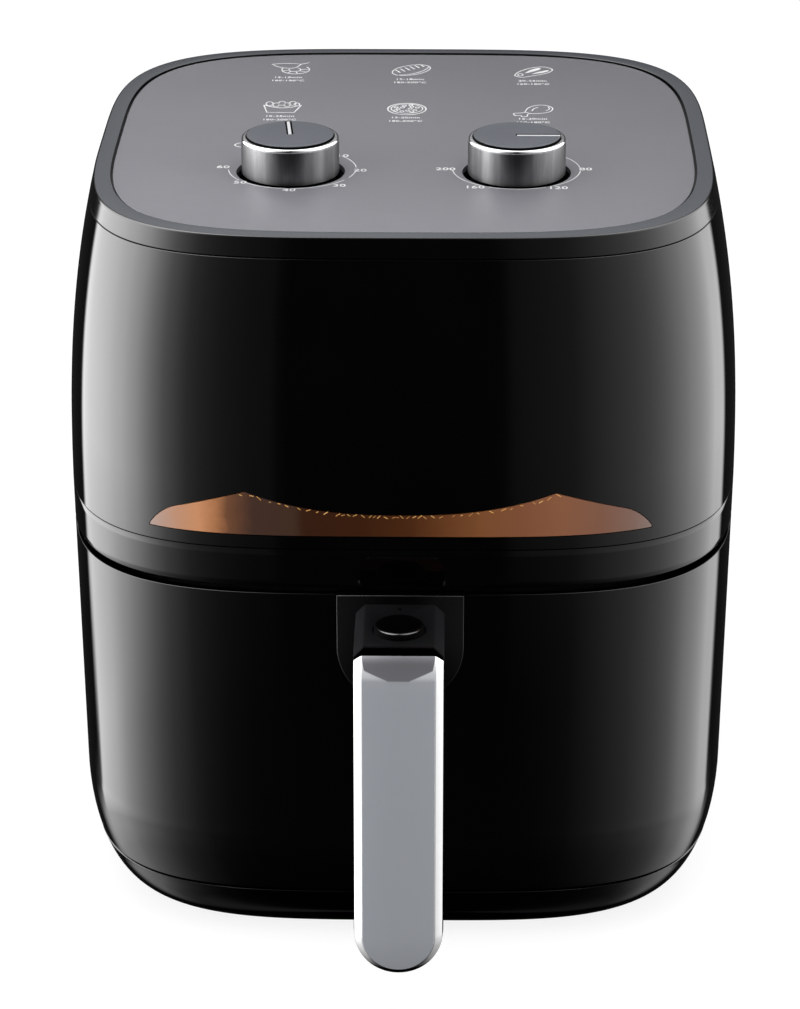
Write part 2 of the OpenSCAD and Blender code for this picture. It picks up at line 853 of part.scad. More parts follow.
module wiring_loom() {
    r = 1.3;
    knob_x = knob_pitch / 2;
    low = well_under - body_drop;
    lift = ceiling_top + 9;
    color("#b8352a") placed() {
        wire([[block_x - 20, block_y - 4, lift], [block_x - 34, block_y - 4, lift],
            [block_x - 34, spiral(1).y, lift], [spiral(1).x + 4, spiral(1).y, lift]], r);
        wire([[block_x + 12, block_y - 8, lift], [block_x + 12, 10, lift],
            [knob_x + 14, 10, low + 8], [knob_x + 14, body_side / 2 - knob_front, low + 8]], r);
        wire([[block_x + 8, block_y + 8, lift], [block_x + 8, 96, lift], [-70, 96, lift],
            [-70, 10, lift], [-knob_x - 14, 10, low + 8], [-knob_x - 14, body_side / 2 - knob_front, low + 8]], r);
    }
}

// ---- Drawer ----

module plate_outline(gap) {
    r = plate_w / 2 + gap;
    centre = front_top - plate_h + plate_w / 2;
    translate([0, centre]) circle(r = r);
    translate([-r, centre]) square([2 * r, front_top - centre + gap * 4]);
}

module facing(y, depth) {
    translate([0, y, 0]) rotate([90, 0, 0]) linear_extrude(depth) children();
}

module drawer_front() {
    color("#0c0c0c") placed() difference() {
        union() {
            plan_ring(wall_section(front_z, front_top, 7, 0, wall));
            for (z = [pan_z + shelf_up, front_top - shelf_drop])
                plan_tube(side_in(z) + wall - weld, pan_inset, z, shelf_t);
        }
        block([-half_w - over, front_cut - seam / 2, front_z - over],
            [half_w + over, half_d + over, front_top + over]);
        intersection() {
            block([-half_w, -half_d * 0.62, pan_z], [half_w, half_d, front_top + over]);
            translate([0, 0, pan_z]) linear_extrude(front_h) polygon(plan(liner_inset - shelf_edge));
        }
        facing(-half_d + plate_room, plate_room + over) plate_outline(plate_gap);
    }
}

module drawer_pan() {
    notch = handle_w / 2 + free_gap;
    color("#3a3b3d") placed() difference() {
        plan_plate(pan_inset, pan_z, pan_top - pan_z);
        plan_plate(pan_inset + sheet_t, pan_z + sheet_t, pan_top - pan_z);
        block([-notch, -half_d, arm_z - free_gap], [notch, -pan_face + 10, pan_top + over]);
    }
}

slot_w = latch_w - 4;
slot_z = channel_z + 0.3;

module pan_catch() {
    color("silver") placed() difference() {
        block([-14, -pan_face - catch_t, arm_z - 14], [14, -pan_face, channel_z + latch_t + 4]);
        block([-slot_w / 2 - free_gap, -pan_face - catch_t - over, slot_z - free_gap],
            [slot_w / 2 + free_gap, -pan_face + over, slot_z + latch_t + free_gap]);
    }
}

module basket() {
    pitch = 20;
    low = basket_z + 14;
    high = arm_z - 14;
    color("#2e2f31") placed() difference() {
        union() {
            plan_plate(basket_inset, basket_z, pan_top - basket_z);
            plan_plate(basket_inset - basket_gap - flange_w + sheet_t, pan_top, sheet_t);
        }
        plan_plate(basket_inset + sheet_t, basket_z + sheet_t, pan_top - basket_z + 2 * sheet_t);
        block([-handle_w / 2 - run_fit, -half_d, arm_z], [handle_w / 2 + run_fit, -basket_face, pan_top + 2 * sheet_t]);
        for (i = [-3:3]) {
            block([i * pitch - 2.5, -half_d, low], [i * pitch + 2.5, half_d, high]);
            block([-half_w, i * pitch - 2.5, low], [half_w, i * pitch + 2.5, high]);
        }
        for (i = [-4:4]) for (j = [-4:4])
            if (i * i + j * j < 26) rod(i * 19, j * 19, basket_z - over, 4, sheet_t + 2 * over);
    }
}

plate_z = basket_z + sheet_t + 6;
plate_inset = basket_inset + sheet_t + 2.5;

module crisper_plate() {
    color("#343537") placed() difference() {
        plan_plate(plate_inset, plate_z, 2);
        for (i = [-5:5]) for (j = [-5:5])
            if (i * i + j * j < 32) rod(i * 16, j * 16, plate_z - over, 3.2, 2 + 2 * over);
    }
}

module plate_feet() {
    x = half_w - plate_inset - 14;
    y = half_d - plate_inset - 14;
    color("#b5372c") placed() at_corners(x * 0.82, y * 0.82)
        rod(0, 0, basket_z + sheet_t, 5, plate_z - basket_z - sheet_t);
}

// ---- Handle ----

// Outline of the grip seen from the front, from the bend down to its round end
grip_sides = 16;
function grip_outline(inset, depth) = let (r = handle_w / 2 - inset, mid = -grip_len + handle_w / 2)
    concat([[r, depth, 0]],
        [for (a = steps(0, -180, grip_sides)) [r * cos(a), depth, mid + r * sin(a)]],
        [[-r, depth, 0]]);

module at_grip() {
    translate([0, bend_y, bend_z]) rotate([-grip_tilt, 0, 0]) children();
}

// Front outline of the grip's back, down to its round end
module grip_shape(inset) {
    r = handle_w / 2 - inset;
    translate([0, -grip_len + handle_w / 2]) circle(r = r);
    translate([-r, -grip_len + handle_w / 2]) square([2 * r, grip_len - handle_w / 2 - 1]);
}

// Section across the bright cover, at a distance before the grip's tip
function cover_section(before) = let (r = handle_w / 2,
    s = min(before, r),
    wide = sqrt(max(0, r * r - (r - s) * (r - s))),
    flat = r - s < r - handle_bevel ? sqrt(pow(r - handle_bevel, 2) - (r - s) * (r - s)) : 0,
    front = max(0, handle_bevel - s))
    [[wide, cover_t], [wide, handle_bevel], [max(flat, 0.2), front],
     [-max(flat, 0.2), front], [-wide, handle_bevel], [-wide, cover_t]];

// Rings of the bright cover round the bend, down the grip and round its tip
function cover_rings() = let (end = 90 - grip_tilt, tips = [18, 14, 10, 7, 4.5, 2.8, 1.4, 0.5, 0.1])
    concat(
        [for (a = steps(0, end, 9))
            [for (p = cover_section(handle_w)) [p.x, bend_y - (bend_r - p.y) * sin(a), bend_z + (bend_r - p.y) * cos(a)]]],
        [for (t = tips) let (s = t * handle_w / 36, u = grip_len - s)
            [for (p = cover_section(s))
                [p.x, bend_y - (bend_r - p.y) * sin(end) - u * cos(end),
                    bend_z + (bend_r - p.y) * cos(end) - u * sin(end)]]]);

module arm_section() {
    half = handle_w / 2;
    polygon([[-half, arm_z], [half, arm_z], [half, arm_top - arm_bevel], [half - arm_bevel, arm_top],
        [-half + arm_bevel, arm_top], [-half, arm_top - arm_bevel]]);
}

module handle_base() {
    back = bend_r - cover_t;
    color("#161616") placed() difference() {
        union() {
            facing(-basket_face, -basket_face - bend_y) arm_section();
            facing(-half_d + plate_t - 1, plate_t) intersection() {
                plate_outline(0);
                translate([-half_w, 0]) square([body_w, front_top]);
            }
            at_grip() translate([0, core_t - back, 0]) rotate([90, 0, 0]) linear_extrude(core_t) grip_shape(0.3);
        }
        rod(0, button_y, well_floor, button_d / 2 + free_gap, arm_top - well_floor + over);
        rod(0, button_y, arm_z + 1, stem_d / 2 + 1.2, arm_h);
        block([-latch_w / 2 - free_gap, button_y - 12.5, channel_z - free_gap],
            [latch_w / 2 + free_gap, -basket_face - 1.5, channel_z + latch_t + 0.6]);
        block([-14.5, -pan_face - catch_t - 0.5, arm_z - over], [14.5, -pan_face + 0.5, channel_z + latch_t + 4.5]);
        for (i = [-1, 1]) rod(i * 12, -basket_face - 15, arm_z - over, screw_r, 9);
    }
}

module handle_cover() {
    color("#d7dadc") placed() loft(cover_rings());
}

module handle_strip() {
    color("#94989c") placed() at_grip()
        loft([grip_outline(handle_bevel, -bend_r - strip_t), grip_outline(handle_bevel, -bend_r)]);
}

module handle_screws() {
    color("silver") placed() for (i = [-1, 1]) {
        rod(i * 12, -basket_face - 15, arm_z - 2, 3, 2);
        rod(i * 12, -basket_face - 15, arm_z - weld, screw_r - run_fit, 7.5);
    }
}

// ---- Release ----

stem_tip = arm_top - 19;

module release_button() {
    r = stem_d / 2;
    color("#0a0a0a") placed() translate([0, button_y, 0]) difference() {
        union() {
            rod(0, 0, arm_top + button_up - button_cap, button_d / 2, button_cap);
            rod(0, 0, stem_tip, r, arm_top - stem_tip - 1);
        }
        translate([0, r, stem_tip]) rotate([-45, 0, 0]) translate([-10, -30, -20]) cube([20, 30, 20]);
    }
}

module button_spring() {
    turns = 3;
    r = stem_d / 2 + 2.4;
    wire = 0.6;
    low = well_floor + wire;
    rise = arm_top + button_up - button_cap - wire - low;
    count = 48;
    color("silver") placed() translate([0, button_y, low]) loft([for (i = [0:count])
        let (a = 360 * turns * i / count)
        [for (b = [0:60:300]) [(r + wire * cos(b)) * cos(a), (r + wire * cos(b)) * sin(a),
            rise * i / count + wire * sin(b)]]]);
}

module latch_bar() {
    nose = -pan_face + 1.6;
    gap = 0.5;
    r = stem_d / 2;
    color("#b9bcbe") placed() difference() {
        union() {
            block([-latch_w / 2, button_y - 8, slot_z], [latch_w / 2, -pan_face - catch_t - 1, slot_z + latch_t]);
            block([-slot_w / 2, -pan_face - catch_t - 1 - weld, slot_z], [slot_w / 2, nose, slot_z + latch_t]);
        }
        intersection() {
            block([-r - 0.6, button_y - 8 + over, slot_z - over], [r + 0.6, button_y + 9, slot_z + latch_t + over]);
            translate([0, button_y + r - gap, stem_tip - gap]) rotate([-45, 0, 0])
                translate([-half_w, -half_d, 0]) cube([body_w, body_d, half_d]);
        }
    }
}

base_tray();
feet();
chassis_floor();
drawer_runners();
lower_housing();
belt_ring();
upper_shell();
top_cover();
top_panel();
window_lens();
inner_glass();
chamber_liner();
ceiling_plate();
heating_element();
element_clips();
element_guard();
motor_base();
motor_stator();
motor_coil();
motor_cap();
timer_body();
timer_bell();
thermostat_body();
thermostat_bulb();
oven_lamp();
lamp_cover();
door_switch();
terminal_block();
thermal_fuse();
wiring_loom();
exhaust_grille();
cord_gland();
base_screws();
drawer_front();
drawer_pan();
pan_catch();
basket();
crisper_plate();
plate_feet();
handle_base();
handle_cover();
handle_strip();
handle_screws();
release_button();
button_spring();
latch_bar();
timer_sleeve();
timer_cap();
timer_pointer();
timer_shaft();
thermostat_sleeve();
thermostat_cap();
thermostat_pointer();
thermostat_shaft();
motor_shaft();
motor_rotor();
hot_air_fan();
cooling_fan();
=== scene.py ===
import math
import random

import bmesh
import bpy
import numpy as np
from mathutils import Matrix, Vector


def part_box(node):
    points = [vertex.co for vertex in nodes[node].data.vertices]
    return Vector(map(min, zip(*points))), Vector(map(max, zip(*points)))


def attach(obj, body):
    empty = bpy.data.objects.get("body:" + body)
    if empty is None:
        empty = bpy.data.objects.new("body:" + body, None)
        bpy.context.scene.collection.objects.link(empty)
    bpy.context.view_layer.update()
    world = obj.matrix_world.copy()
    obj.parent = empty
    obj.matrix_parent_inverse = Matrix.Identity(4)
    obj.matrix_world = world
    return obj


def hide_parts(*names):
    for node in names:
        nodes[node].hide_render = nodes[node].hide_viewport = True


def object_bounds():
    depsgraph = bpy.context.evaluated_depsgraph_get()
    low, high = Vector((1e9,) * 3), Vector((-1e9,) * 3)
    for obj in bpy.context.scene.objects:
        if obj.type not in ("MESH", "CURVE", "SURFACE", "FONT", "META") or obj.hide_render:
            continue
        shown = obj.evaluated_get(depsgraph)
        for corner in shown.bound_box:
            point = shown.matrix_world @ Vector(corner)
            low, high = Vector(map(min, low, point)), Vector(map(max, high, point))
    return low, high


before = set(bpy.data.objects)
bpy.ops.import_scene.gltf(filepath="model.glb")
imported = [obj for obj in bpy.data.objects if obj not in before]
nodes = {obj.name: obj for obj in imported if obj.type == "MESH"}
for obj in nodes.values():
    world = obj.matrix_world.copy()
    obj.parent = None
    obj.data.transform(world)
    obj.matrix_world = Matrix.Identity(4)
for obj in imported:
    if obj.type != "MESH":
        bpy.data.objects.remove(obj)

cadLow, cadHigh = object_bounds()
scene = bpy.context.scene
mm = 0.001
random.seed(7)
print("frame loaded:", len(nodes), "nodes")


# camera

view = {
    "target": (0.0, 0.02846, 0.14289),
    "distance": 1.56683,
    "elevation": 0.405458,
    "turn": 0.0137,
    "lens": 126.83,
    "shiftX": -0.0051,
}


def makeCamera():
    data = bpy.data.cameras.new("viewCamera")
    data.sensor_width = 36
    data.lens = view["lens"]
    data.shift_x = view["shiftX"]
    data.clip_start, data.clip_end = 0.05, 20
    camera = bpy.data.objects.new("viewCamera", data)
    scene.collection.objects.link(camera)
    flat = math.cos(view["elevation"]) * view["distance"]
    back = Vector((math.sin(view["turn"]) * flat, -math.cos(view["turn"]) * flat,
                   math.sin(view["elevation"]) * view["distance"]))
    camera.location = Vector(view["target"]) + back
    camera.rotation_mode = "QUATERNION"
    camera.rotation_quaternion = (-back).to_track_quat("-Z", "Y")
    scene.camera = camera


makeCamera()
print("camera placed")


# shader groups

def newGroup(name, inputs, outputs):
    # the form of an input's starting value gives its kind of socket
    tree = bpy.data.node_groups.new(name, "ShaderNodeTree")
    for label, value in inputs.items():
        kind = "Float" if isinstance(value, float) else "Vector" if len(value) == 3 else "Color"
        socket = tree.interface.new_socket(name=label, in_out="INPUT", socket_type="NodeSocket" + kind)
        socket.default_value = value
    for label in outputs:
        kind = "Color" if label == "Color" else "Float"
        tree.interface.new_socket(name=label, in_out="OUTPUT", socket_type="NodeSocket" + kind)
    start = tree.nodes.new("NodeGroupInput")
    end = tree.nodes.new("NodeGroupOutput")
    start.location, end.location = (-700, 0), (600, 0)
    return tree, start.outputs, end


def addNode(tree, kind, place, **settings):
    node = tree.nodes.new("ShaderNode" + kind)
    node.location = place
    for key, value in settings.items():
        setattr(node, key, value)
    return node


def feed(tree, node, **values):
    # links a socket, or sets a plain value, on each named input
    for label, value in values.items():
        socket = node.inputs[label.replace("_", " ")]
        if isinstance(value, bpy.types.NodeSocket):
            tree.links.new(value, socket)
        else:
            socket.default_value = value
    return node


def mathNode(tree, operation, place, *values, clamp=False):
    node = addNode(tree, "Math", place, operation=operation, use_clamp=clamp)
    for socket, value in zip(node.inputs, values):
        if isinstance(value, (int, float)):
            socket.default_value = value
        else:
            tree.links.new(value, socket)
    return node.outputs[0]


def noiseNode(tree, place, where, scale, detail=2.0):
    return feed(tree, addNode(tree, "TexNoise", place), Vector=where, Scale=scale, Detail=detail).outputs[0]


def mixNode(tree, place, share, first, second, kind="RGBA"):
    node = addNode(tree, "Mix", place, data_type=kind)
    return feed(tree, node, Factor=share, A=first, B=second).outputs["Result"]


def scaleTone(tree, place, tone, share):
    node = addNode(tree, "VectorMath", place, operation="SCALE")
    tree.links.new(tone, node.inputs[0])
    return feed(tree, node, Scale=share).outputs[0]


def shareNode(tree, place, source, low, high):
    # 0 at the low value and 1 at the high one
    node = addNode(tree, "MapRange", place, clamp=True)
    return feed(tree, node, Value=source, From_Min=low, From_Max=high).outputs[0]


def rampNode(tree, place, source, stops, low, high):
    # value by stops of (where, value) between two limits
    ramp = addNode(tree, "ValToRGB", place)
    tree.links.new(shareNode(tree, (place[0] - 200, place[1]), source, low, high), ramp.inputs[0])
    elements = ramp.color_ramp.elements
    while len(elements) < len(stops):
        elements.new(0.5)
    peak = max(value for _, value in stops)
    for element, (where, value) in zip(elements, stops):
        element.position = (where - low) / (high - low)
        element.color = (value / peak,) * 3 + (1,)
    return mathNode(tree, "MULTIPLY", (place[0] + 300, place[1]), ramp.outputs[0], peak)


def coordsOf(tree, place, kind="Object"):
    return addNode(tree, "TexCoord", place).outputs[kind]


def splitCoords(tree, place, kind="Object"):
    parts = addNode(tree, "SeparateXYZ", place)
    tree.links.new(coordsOf(tree, (place[0] - 200, place[1]), kind), parts.inputs[0])
    return parts.outputs


def stretchCoords(tree, stretch):
    node = addNode(tree, "VectorMath", (-700, 200), operation="MULTIPLY")
    tree.links.new(coordsOf(tree, (-900, 200)), node.inputs[0])
    tree.links.new(stretch, node.inputs[1])
    return node.outputs[0]


def makeTintGroup():
    # slow drift between two close tones, with finer mottling on top
    tree, start, end = newGroup("tintDrift", {"Tone": (0.5, 0.5, 0.5, 1), "Other Tone": (0.4, 0.4, 0.4, 1),
                                              "Scale": 20.0, "Stretch": (1, 1, 1)}, ("Color",))
    where = stretchCoords(tree, start["Stretch"])
    fineScale = mathNode(tree, "MULTIPLY", (-600, -200), start["Scale"], 14.0)
    broad = noiseNode(tree, (-450, 200), where, start["Scale"])
    fine = noiseNode(tree, (-450, -100), where, fineScale, 5)
    both = mathNode(tree, "ADD", (-200, 100), broad, mathNode(tree, "MULTIPLY", (-300, -200), fine, 0.6))
    mask = mathNode(tree, "MULTIPLY_ADD", (0, 0), both, 2.2, -1.26, clamp=True)
    feed(tree, end, Color=mixNode(tree, (200, 100), mask, start["Tone"], start["Other Tone"]))
    return tree


def makeGrainGroup():
    # moulded or cast grain: a height and a roughness value that drifts round its middle
    tree, start, end = newGroup("surfaceGrain", {"Scale": 900.0, "Stretch": (1, 1, 1), "Roughness": 0.3,
                                                 "Spread": 0.05}, ("Height", "Roughness"))
    grain = noiseNode(tree, (-450, 200), stretchCoords(tree, start["Stretch"]), start["Scale"], 3)
    smear = noiseNode(tree, (-450, -100), coordsOf(tree, (-650, -100)), 30)
    drift = mathNode(tree, "SUBTRACT", (-200, -100), smear, 0.5)
    rough = mathNode(tree, "MULTIPLY", (0, -100), drift, start["Spread"])
    rough = mathNode(tree, "ADD", (200, -100), rough, start["Roughness"], clamp=True)
    feed(tree, end, Height=grain, Roughness=rough)
    return tree


def makeDustGroup():
    # sparse pale specks that settle on upward faces
    tree, start, end = newGroup("restingDust", {"Color": (0, 0, 0, 1), "Dust": (0.4, 0.4, 0.4, 1),
                                                "Amount": 0.1}, ("Color",))
    specks = noiseNode(tree, (-600, 200), coordsOf(tree, (-800, 200)), 1400)
    height = splitCoords(tree, (-600, -100), "Normal")["Z"]
    peak = mathNode(tree, "MULTIPLY_ADD", (-350, 200), specks, 9.0, -5.6, clamp=True)
    upward = mathNode(tree, "POWER", (-350, -100), mathNode(tree, "MAXIMUM", (-450, -100), height, 0.0), 2.0)
    share = mathNode(tree, "MULTIPLY", (-100, 100), peak, upward)
    share = mathNode(tree, "MULTIPLY", (100, 100), share, start["Amount"], clamp=True)
    feed(tree, end, Color=mixNode(tree, (300, 100), share, start["Color"], start["Dust"]))
    return tree


# shape of the painted reflection on upward faces and of the painted highlights at the corners
lean = {"tip": 0.0041, "shoulder": 0.0134, "lowest": 0.09, "slope": 37.0, "steep": 300.0, "edge": 26.0,
        "cornerFrom": 0.065, "cornerEdge": 7.0}


def makeLeanReflectionGroup():
    # painted reflection: a darker tone where the face leans upwards, ending in a shallow point, and painted
    # highlights as lighter corners under it
    tree, start, end = newGroup("leanReflectionPaint", {"Color": (0, 0, 0, 1), "RaisedReflection": (0.1, 0.1, 0.1, 1),
                                             "Corner": (0.8, 0.8, 0.8, 1)}, ("Color",))
    height = splitCoords(tree, (-900, 200), "Normal")["Z"]
    aside = mathNode(tree, "ABSOLUTE", (-750, -100), splitCoords(tree, (-900, -100))["X"])
    slope = mathNode(tree, "MULTIPLY_ADD", (-600, -100),
                     mathNode(tree, "MAXIMUM", (-700, -200), aside, lean["tip"]),
                     lean["slope"], lean["lowest"] - lean["tip"] * lean["slope"])
    past = mathNode(tree, "SUBTRACT", (-800, -350), aside, lean["shoulder"])
    steep = mathNode(tree, "MULTIPLY", (-600, -300), mathNode(tree, "MAXIMUM", (-700, -350), past, 0.0),
                     lean["steep"])
    limit = mathNode(tree, "ADD", (-450, -200), slope, steep)
    above = mathNode(tree, "SUBTRACT", (-350, 0), height, limit)
    above = mathNode(tree, "MULTIPLY_ADD", (-250, 0), above, lean["edge"], 0.5, clamp=True)
    corner = mathNode(tree, "SUBTRACT", (-350, 300), height, lean["cornerFrom"])
    corner = mathNode(tree, "MULTIPLY", (-250, 300), corner, lean["cornerEdge"], clamp=True)
    fade = mathNode(tree, "MULTIPLY", (-350, -500), height, 1.6, clamp=True)
    fade = mathNode(tree, "MULTIPLY_ADD", (-250, -500), fade, -0.95, 1.85)
    raisedReflection = scaleTone(tree, (0, -300), start["RaisedReflection"], fade)
    pale = mixNode(tree, (0, 200), corner, start["Color"], start["Corner"])
    feed(tree, end, Color=mixNode(tree, (300, 100), above, pale, raisedReflection))
    return tree


def makeShadeSweepGroup():
    # painted shade: slow fall of tone from the front left towards the back right, standing for the light
    # falling off over the panel
    tree, start, end = newGroup("paintedShadeSweep", {"Color": (0, 0, 0, 1), "FarShade": (0.1, 0.1, 0.1, 1)}, ("Color",))
    spot = splitCoords(tree, (-700, 200))
    along = mathNode(tree, "MULTIPLY_ADD", (-500, 200), spot["Y"], 3.6, 0.30)
    across = mathNode(tree, "MULTIPLY", (-500, 0), spot["X"], 2.2)
    share = mathNode(tree, "ADD", (-300, 100), along, across, clamp=True)
    feed(tree, end, Color=mixNode(tree, (300, 100), share, start["Color"], start["FarShade"]))
    return tree


def makeBendGroup():
    # gloss that falls away where the face turns to the front, with painted shade darkening the tone there,
    # and a painted highlight as a lighter tone on the bevels
    tree, start, end = newGroup("bendGlossAndShade", {"Color": (0, 0, 0, 1), "Level": 0.5, "Bevel": 2.0},
                                ("Color", "Level"))
    faces = splitCoords(tree, (-700, 200), "Normal")
    turned = mathNode(tree, "MULTIPLY_ADD", (-400, 200), faces["Y"], 6.0, 1.3, clamp=True)
    aside = mathNode(tree, "MULTIPLY_ADD", (-400, -100), mathNode(tree, "ABSOLUTE", (-550, -100), faces["X"]),
                     start["Bevel"], 1.0)
    shadeAndHighlight = mathNode(tree, "MULTIPLY", (-200, 100), turned, aside)
    level = mathNode(tree, "MULTIPLY", (200, -100), turned, start["Level"])
    feed(tree, end, Color=scaleTone(tree, (100, 200), start["Color"], shadeAndHighlight), Level=level)
    return tree


def makeUpperGroup():
    # painted reflection: another tone on level faces, standing for the bright light overhead that they
    # reflect
    tree, start, end = newGroup("upperReflectionTone", {"Color": (0, 0, 0, 1), "Upper": (0.1, 0.1, 0.1, 1)}, ("Color",))
    share = mathNode(tree, "MULTIPLY_ADD", (-300, 200), splitCoords(tree, (-650, 200), "Normal")["Z"],
                     12.0, -10.8, clamp=True)
    feed(tree, end, Color=mixNode(tree, (300, 100), share, start["Color"], start["Upper"]))
    return tree


groups = {"tint": makeTintGroup(), "grain": makeGrainGroup(), "dust": makeDustGroup(),
          "lean": makeLeanReflectionGroup(), "shadeSweep": makeShadeSweepGroup(), "bend": makeBendGroup(),
          "upper": makeUpperGroup()}


# finishes

# tone, other tone, tint scale, roughness, spread, grain scale, grain depth, then what else the finish has
finishes = {
    "glossBlack": ((0.0003, 0.0003, 0.0005), (0.0007, 0.0007, 0.001), 25, 0.045, 0.03, 500, 0.004,
                   {"dust": {"Amount": 0.02}}),
    # the upper step paints a reflection of the light overhead on the rim's level top
    "rimBlack": ((0.0003, 0.0003, 0.0005), (0.0007, 0.0007, 0.001), 25, 0.12, 0.03, 500, 0.004,
                 {"upper": {"Upper": (0.062, 0.068, 0.08, 1)}}),
    # near-unreflecting black: black parts, with the shade of the gaps and wells they fill painted in
    "blackWithShade": ((0.0004, 0.0004, 0.0005), (0.0008, 0.0008, 0.0009), 60, 0.8, 0.1, 2400, 0.05,
                  {"ior": 1.08}),
    "darkSteel": ((0.01, 0.01, 0.011), (0.018, 0.018, 0.019), 90, 0.5, 0.12, 1500, 0.05,
                  {"metallic": 0.5, "ior": 1.2}),
    "handleBlack": ((0.0004, 0.0004, 0.0006), (0.0009, 0.0009, 0.0012), 60, 0.27, 0.06, 2600, 0.03,
                    {"ior": 1.36}),
    # the bend step paints shade on the arm's bend and highlights on its bevels
    "armBlack": ((0.0034, 0.0034, 0.0039), (0.0046, 0.0046, 0.0052), 60, 0.3, 0.06, 2600, 0.03,
                 {"ior": 1.42, "bend": {"Level": 0.5}}),
    "satinBlack": ((0.006, 0.006, 0.0066), (0.0085, 0.0085, 0.0092), 60, 0.34, 0.1, 2600, 0.05,
                   {"dust": {"Amount": 0.1}}),
    "deepBlack": ((0.0012, 0.0012, 0.0013), (0.0022, 0.0022, 0.0024), 60, 0.55, 0.1, 2400, 0.05, {}),
    "rubberBlack": ((0.012, 0.012, 0.012), (0.02, 0.02, 0.019), 90, 0.72, 0.12, 3200, 0.12, {}),
    "panelGrey": ((0.168, 0.166, 0.184), (0.18, 0.178, 0.196), 9, 0.4, 0.05, 2200, 0.035,
                  # the sweep paints shade on the panel, darker towards the back right
                  {"metallic": 0.1, "shadeSweep": {"FarShade": (0.122, 0.122, 0.134, 1)}}),
    "chrome": ((0.8, 0.8, 0.81), (0.74, 0.74, 0.76), 30, 0.07, 0.04, 700, 0.004, {"metallic": 1.0}),
    "brightTrim": ((0.44, 0.44, 0.44), (0.41, 0.41, 0.415), 30, 0.06, 0.03, 700, 0.004, {"metallic": 1.0}),
    "turnedMetal": ((0.21, 0.21, 0.215), (0.31, 0.31, 0.315), 420, 0.36, 0.06, 2200, 0.06,
                    {"metallic": 1.0, "stretch": (1, 1, 0.03), "turned": 0.9,
                     # painted reflection bands: brightness across the sleeve by how squarely it faces the eye
                     "fall": [(0.0, 0.3), (0.06, 0.32), (0.12, 0.75), (0.25, 0.9),
                              (0.4, 0.8), (0.52, 0.58), (0.65, 0.38), (1.0, 0.3)]}),
    "stripGrey": ((0.446, 0.466, 0.507), (0.458, 0.478, 0.519), 14, 0.34, 0.05, 2600, 0.02,
                  {"metallic": 0.25,
                   # the lean step paints a reflection on the strip's upward faces and highlights at its lower
                   # corners
                   "lean": {"RaisedReflection": (0.118, 0.116, 0.127, 1), "Corner": (0.64, 0.65, 0.68, 1)}}),
    "slateGrey": ((0.055, 0.06, 0.071), (0.064, 0.069, 0.081), 30, 0.46, 0.06, 2600, 0.04, {}),
    "pointerWhite": ((0.7, 0.71, 0.72), (0.62, 0.63, 0.64), 80, 0.35, 0.08, 2000, 0.03, {}),
    "printWhite": ((0.8, 0.8, 0.8), (0.62, 0.62, 0.63), 160, 0.55, 0.08, 4000, 0.02, {}),
    "sheetSteel": ((0.42, 0.42, 0.42), (0.52, 0.52, 0.51), 12, 0.36, 0.12, 160, 0.05,
                   {"metallic": 1.0, "stretch": (1, 1, 22)}),
    "brightWire": ((0.66, 0.66, 0.65), (0.56, 0.56, 0.56), 50, 0.22, 0.08, 900, 0.02, {"metallic": 1.0}),
    "elementTube": ((0.1, 0.095, 0.09), (0.2, 0.16, 0.13), 45, 0.48, 0.16, 1100, 0.12, {"metallic": 0.7}),
    "aluminium": ((0.62, 0.63, 0.64), (0.52, 0.53, 0.54), 22, 0.33, 0.1, 240, 0.04,
                  {"metallic": 1.0, "stretch": (9, 9, 1)}),
    "copperCoil": ((0.58, 0.2, 0.08), (0.42, 0.13, 0.05), 60, 0.33, 0.1, 500, 0.25,
                   {"metallic": 0.9, "stretch": (1, 1, 9)}),
    "nonstick": ((0.022, 0.022, 0.023), (0.045, 0.045, 0.047), 130, 0.4, 0.14, 1500, 0.14,
                 {"dust": {"Amount": 0.25}}),
    "creamPlastic": ((0.66, 0.6, 0.46), (0.58, 0.52, 0.39), 24, 0.44, 0.08, 1500, 0.05, {}),
    "brownPlastic": ((0.16, 0.075, 0.035), (0.11, 0.052, 0.025), 30, 0.46, 0.08, 1500, 0.06, {}),
    "redSilicone": ((0.42, 0.045, 0.035), (0.34, 0.035, 0.03), 50, 0.58, 0.1, 1800, 0.06, {}),
    "ceramicWhite": ((0.74, 0.73, 0.69), (0.66, 0.64, 0.6), 40, 0.38, 0.1, 900, 0.06, {}),
    # bright marks that paint glints of light behind the window
    "paintedGlint": ((1.0, 0.66, 0.24), (0.9, 0.4, 0.08), 300, 0.3, 0.1, 900, 0.05, {}),
}


def placeGroup(tree, kind, place, **values):
    return feed(tree, addNode(tree, "Group", place, node_tree=groups[kind]), **values).outputs


def newMaterial(name):
    material = bpy.data.materials.new(name)
    material.use_nodes = True
    return material, material.node_tree, material.node_tree.nodes.get("Principled BSDF")


def roughen(tree, shader, depth, **values):
    # roughness and fine bump from the shared grain
    grain = placeGroup(tree, "grain", (-600, -200), **values)
    bump = feed(tree, addNode(tree, "Bump", (-300, -200)), Strength=depth, Distance=0.0004,
                Height=grain["Height"])
    feed(tree, shader, Roughness=grain["Roughness"], Normal=bump.outputs["Normal"])


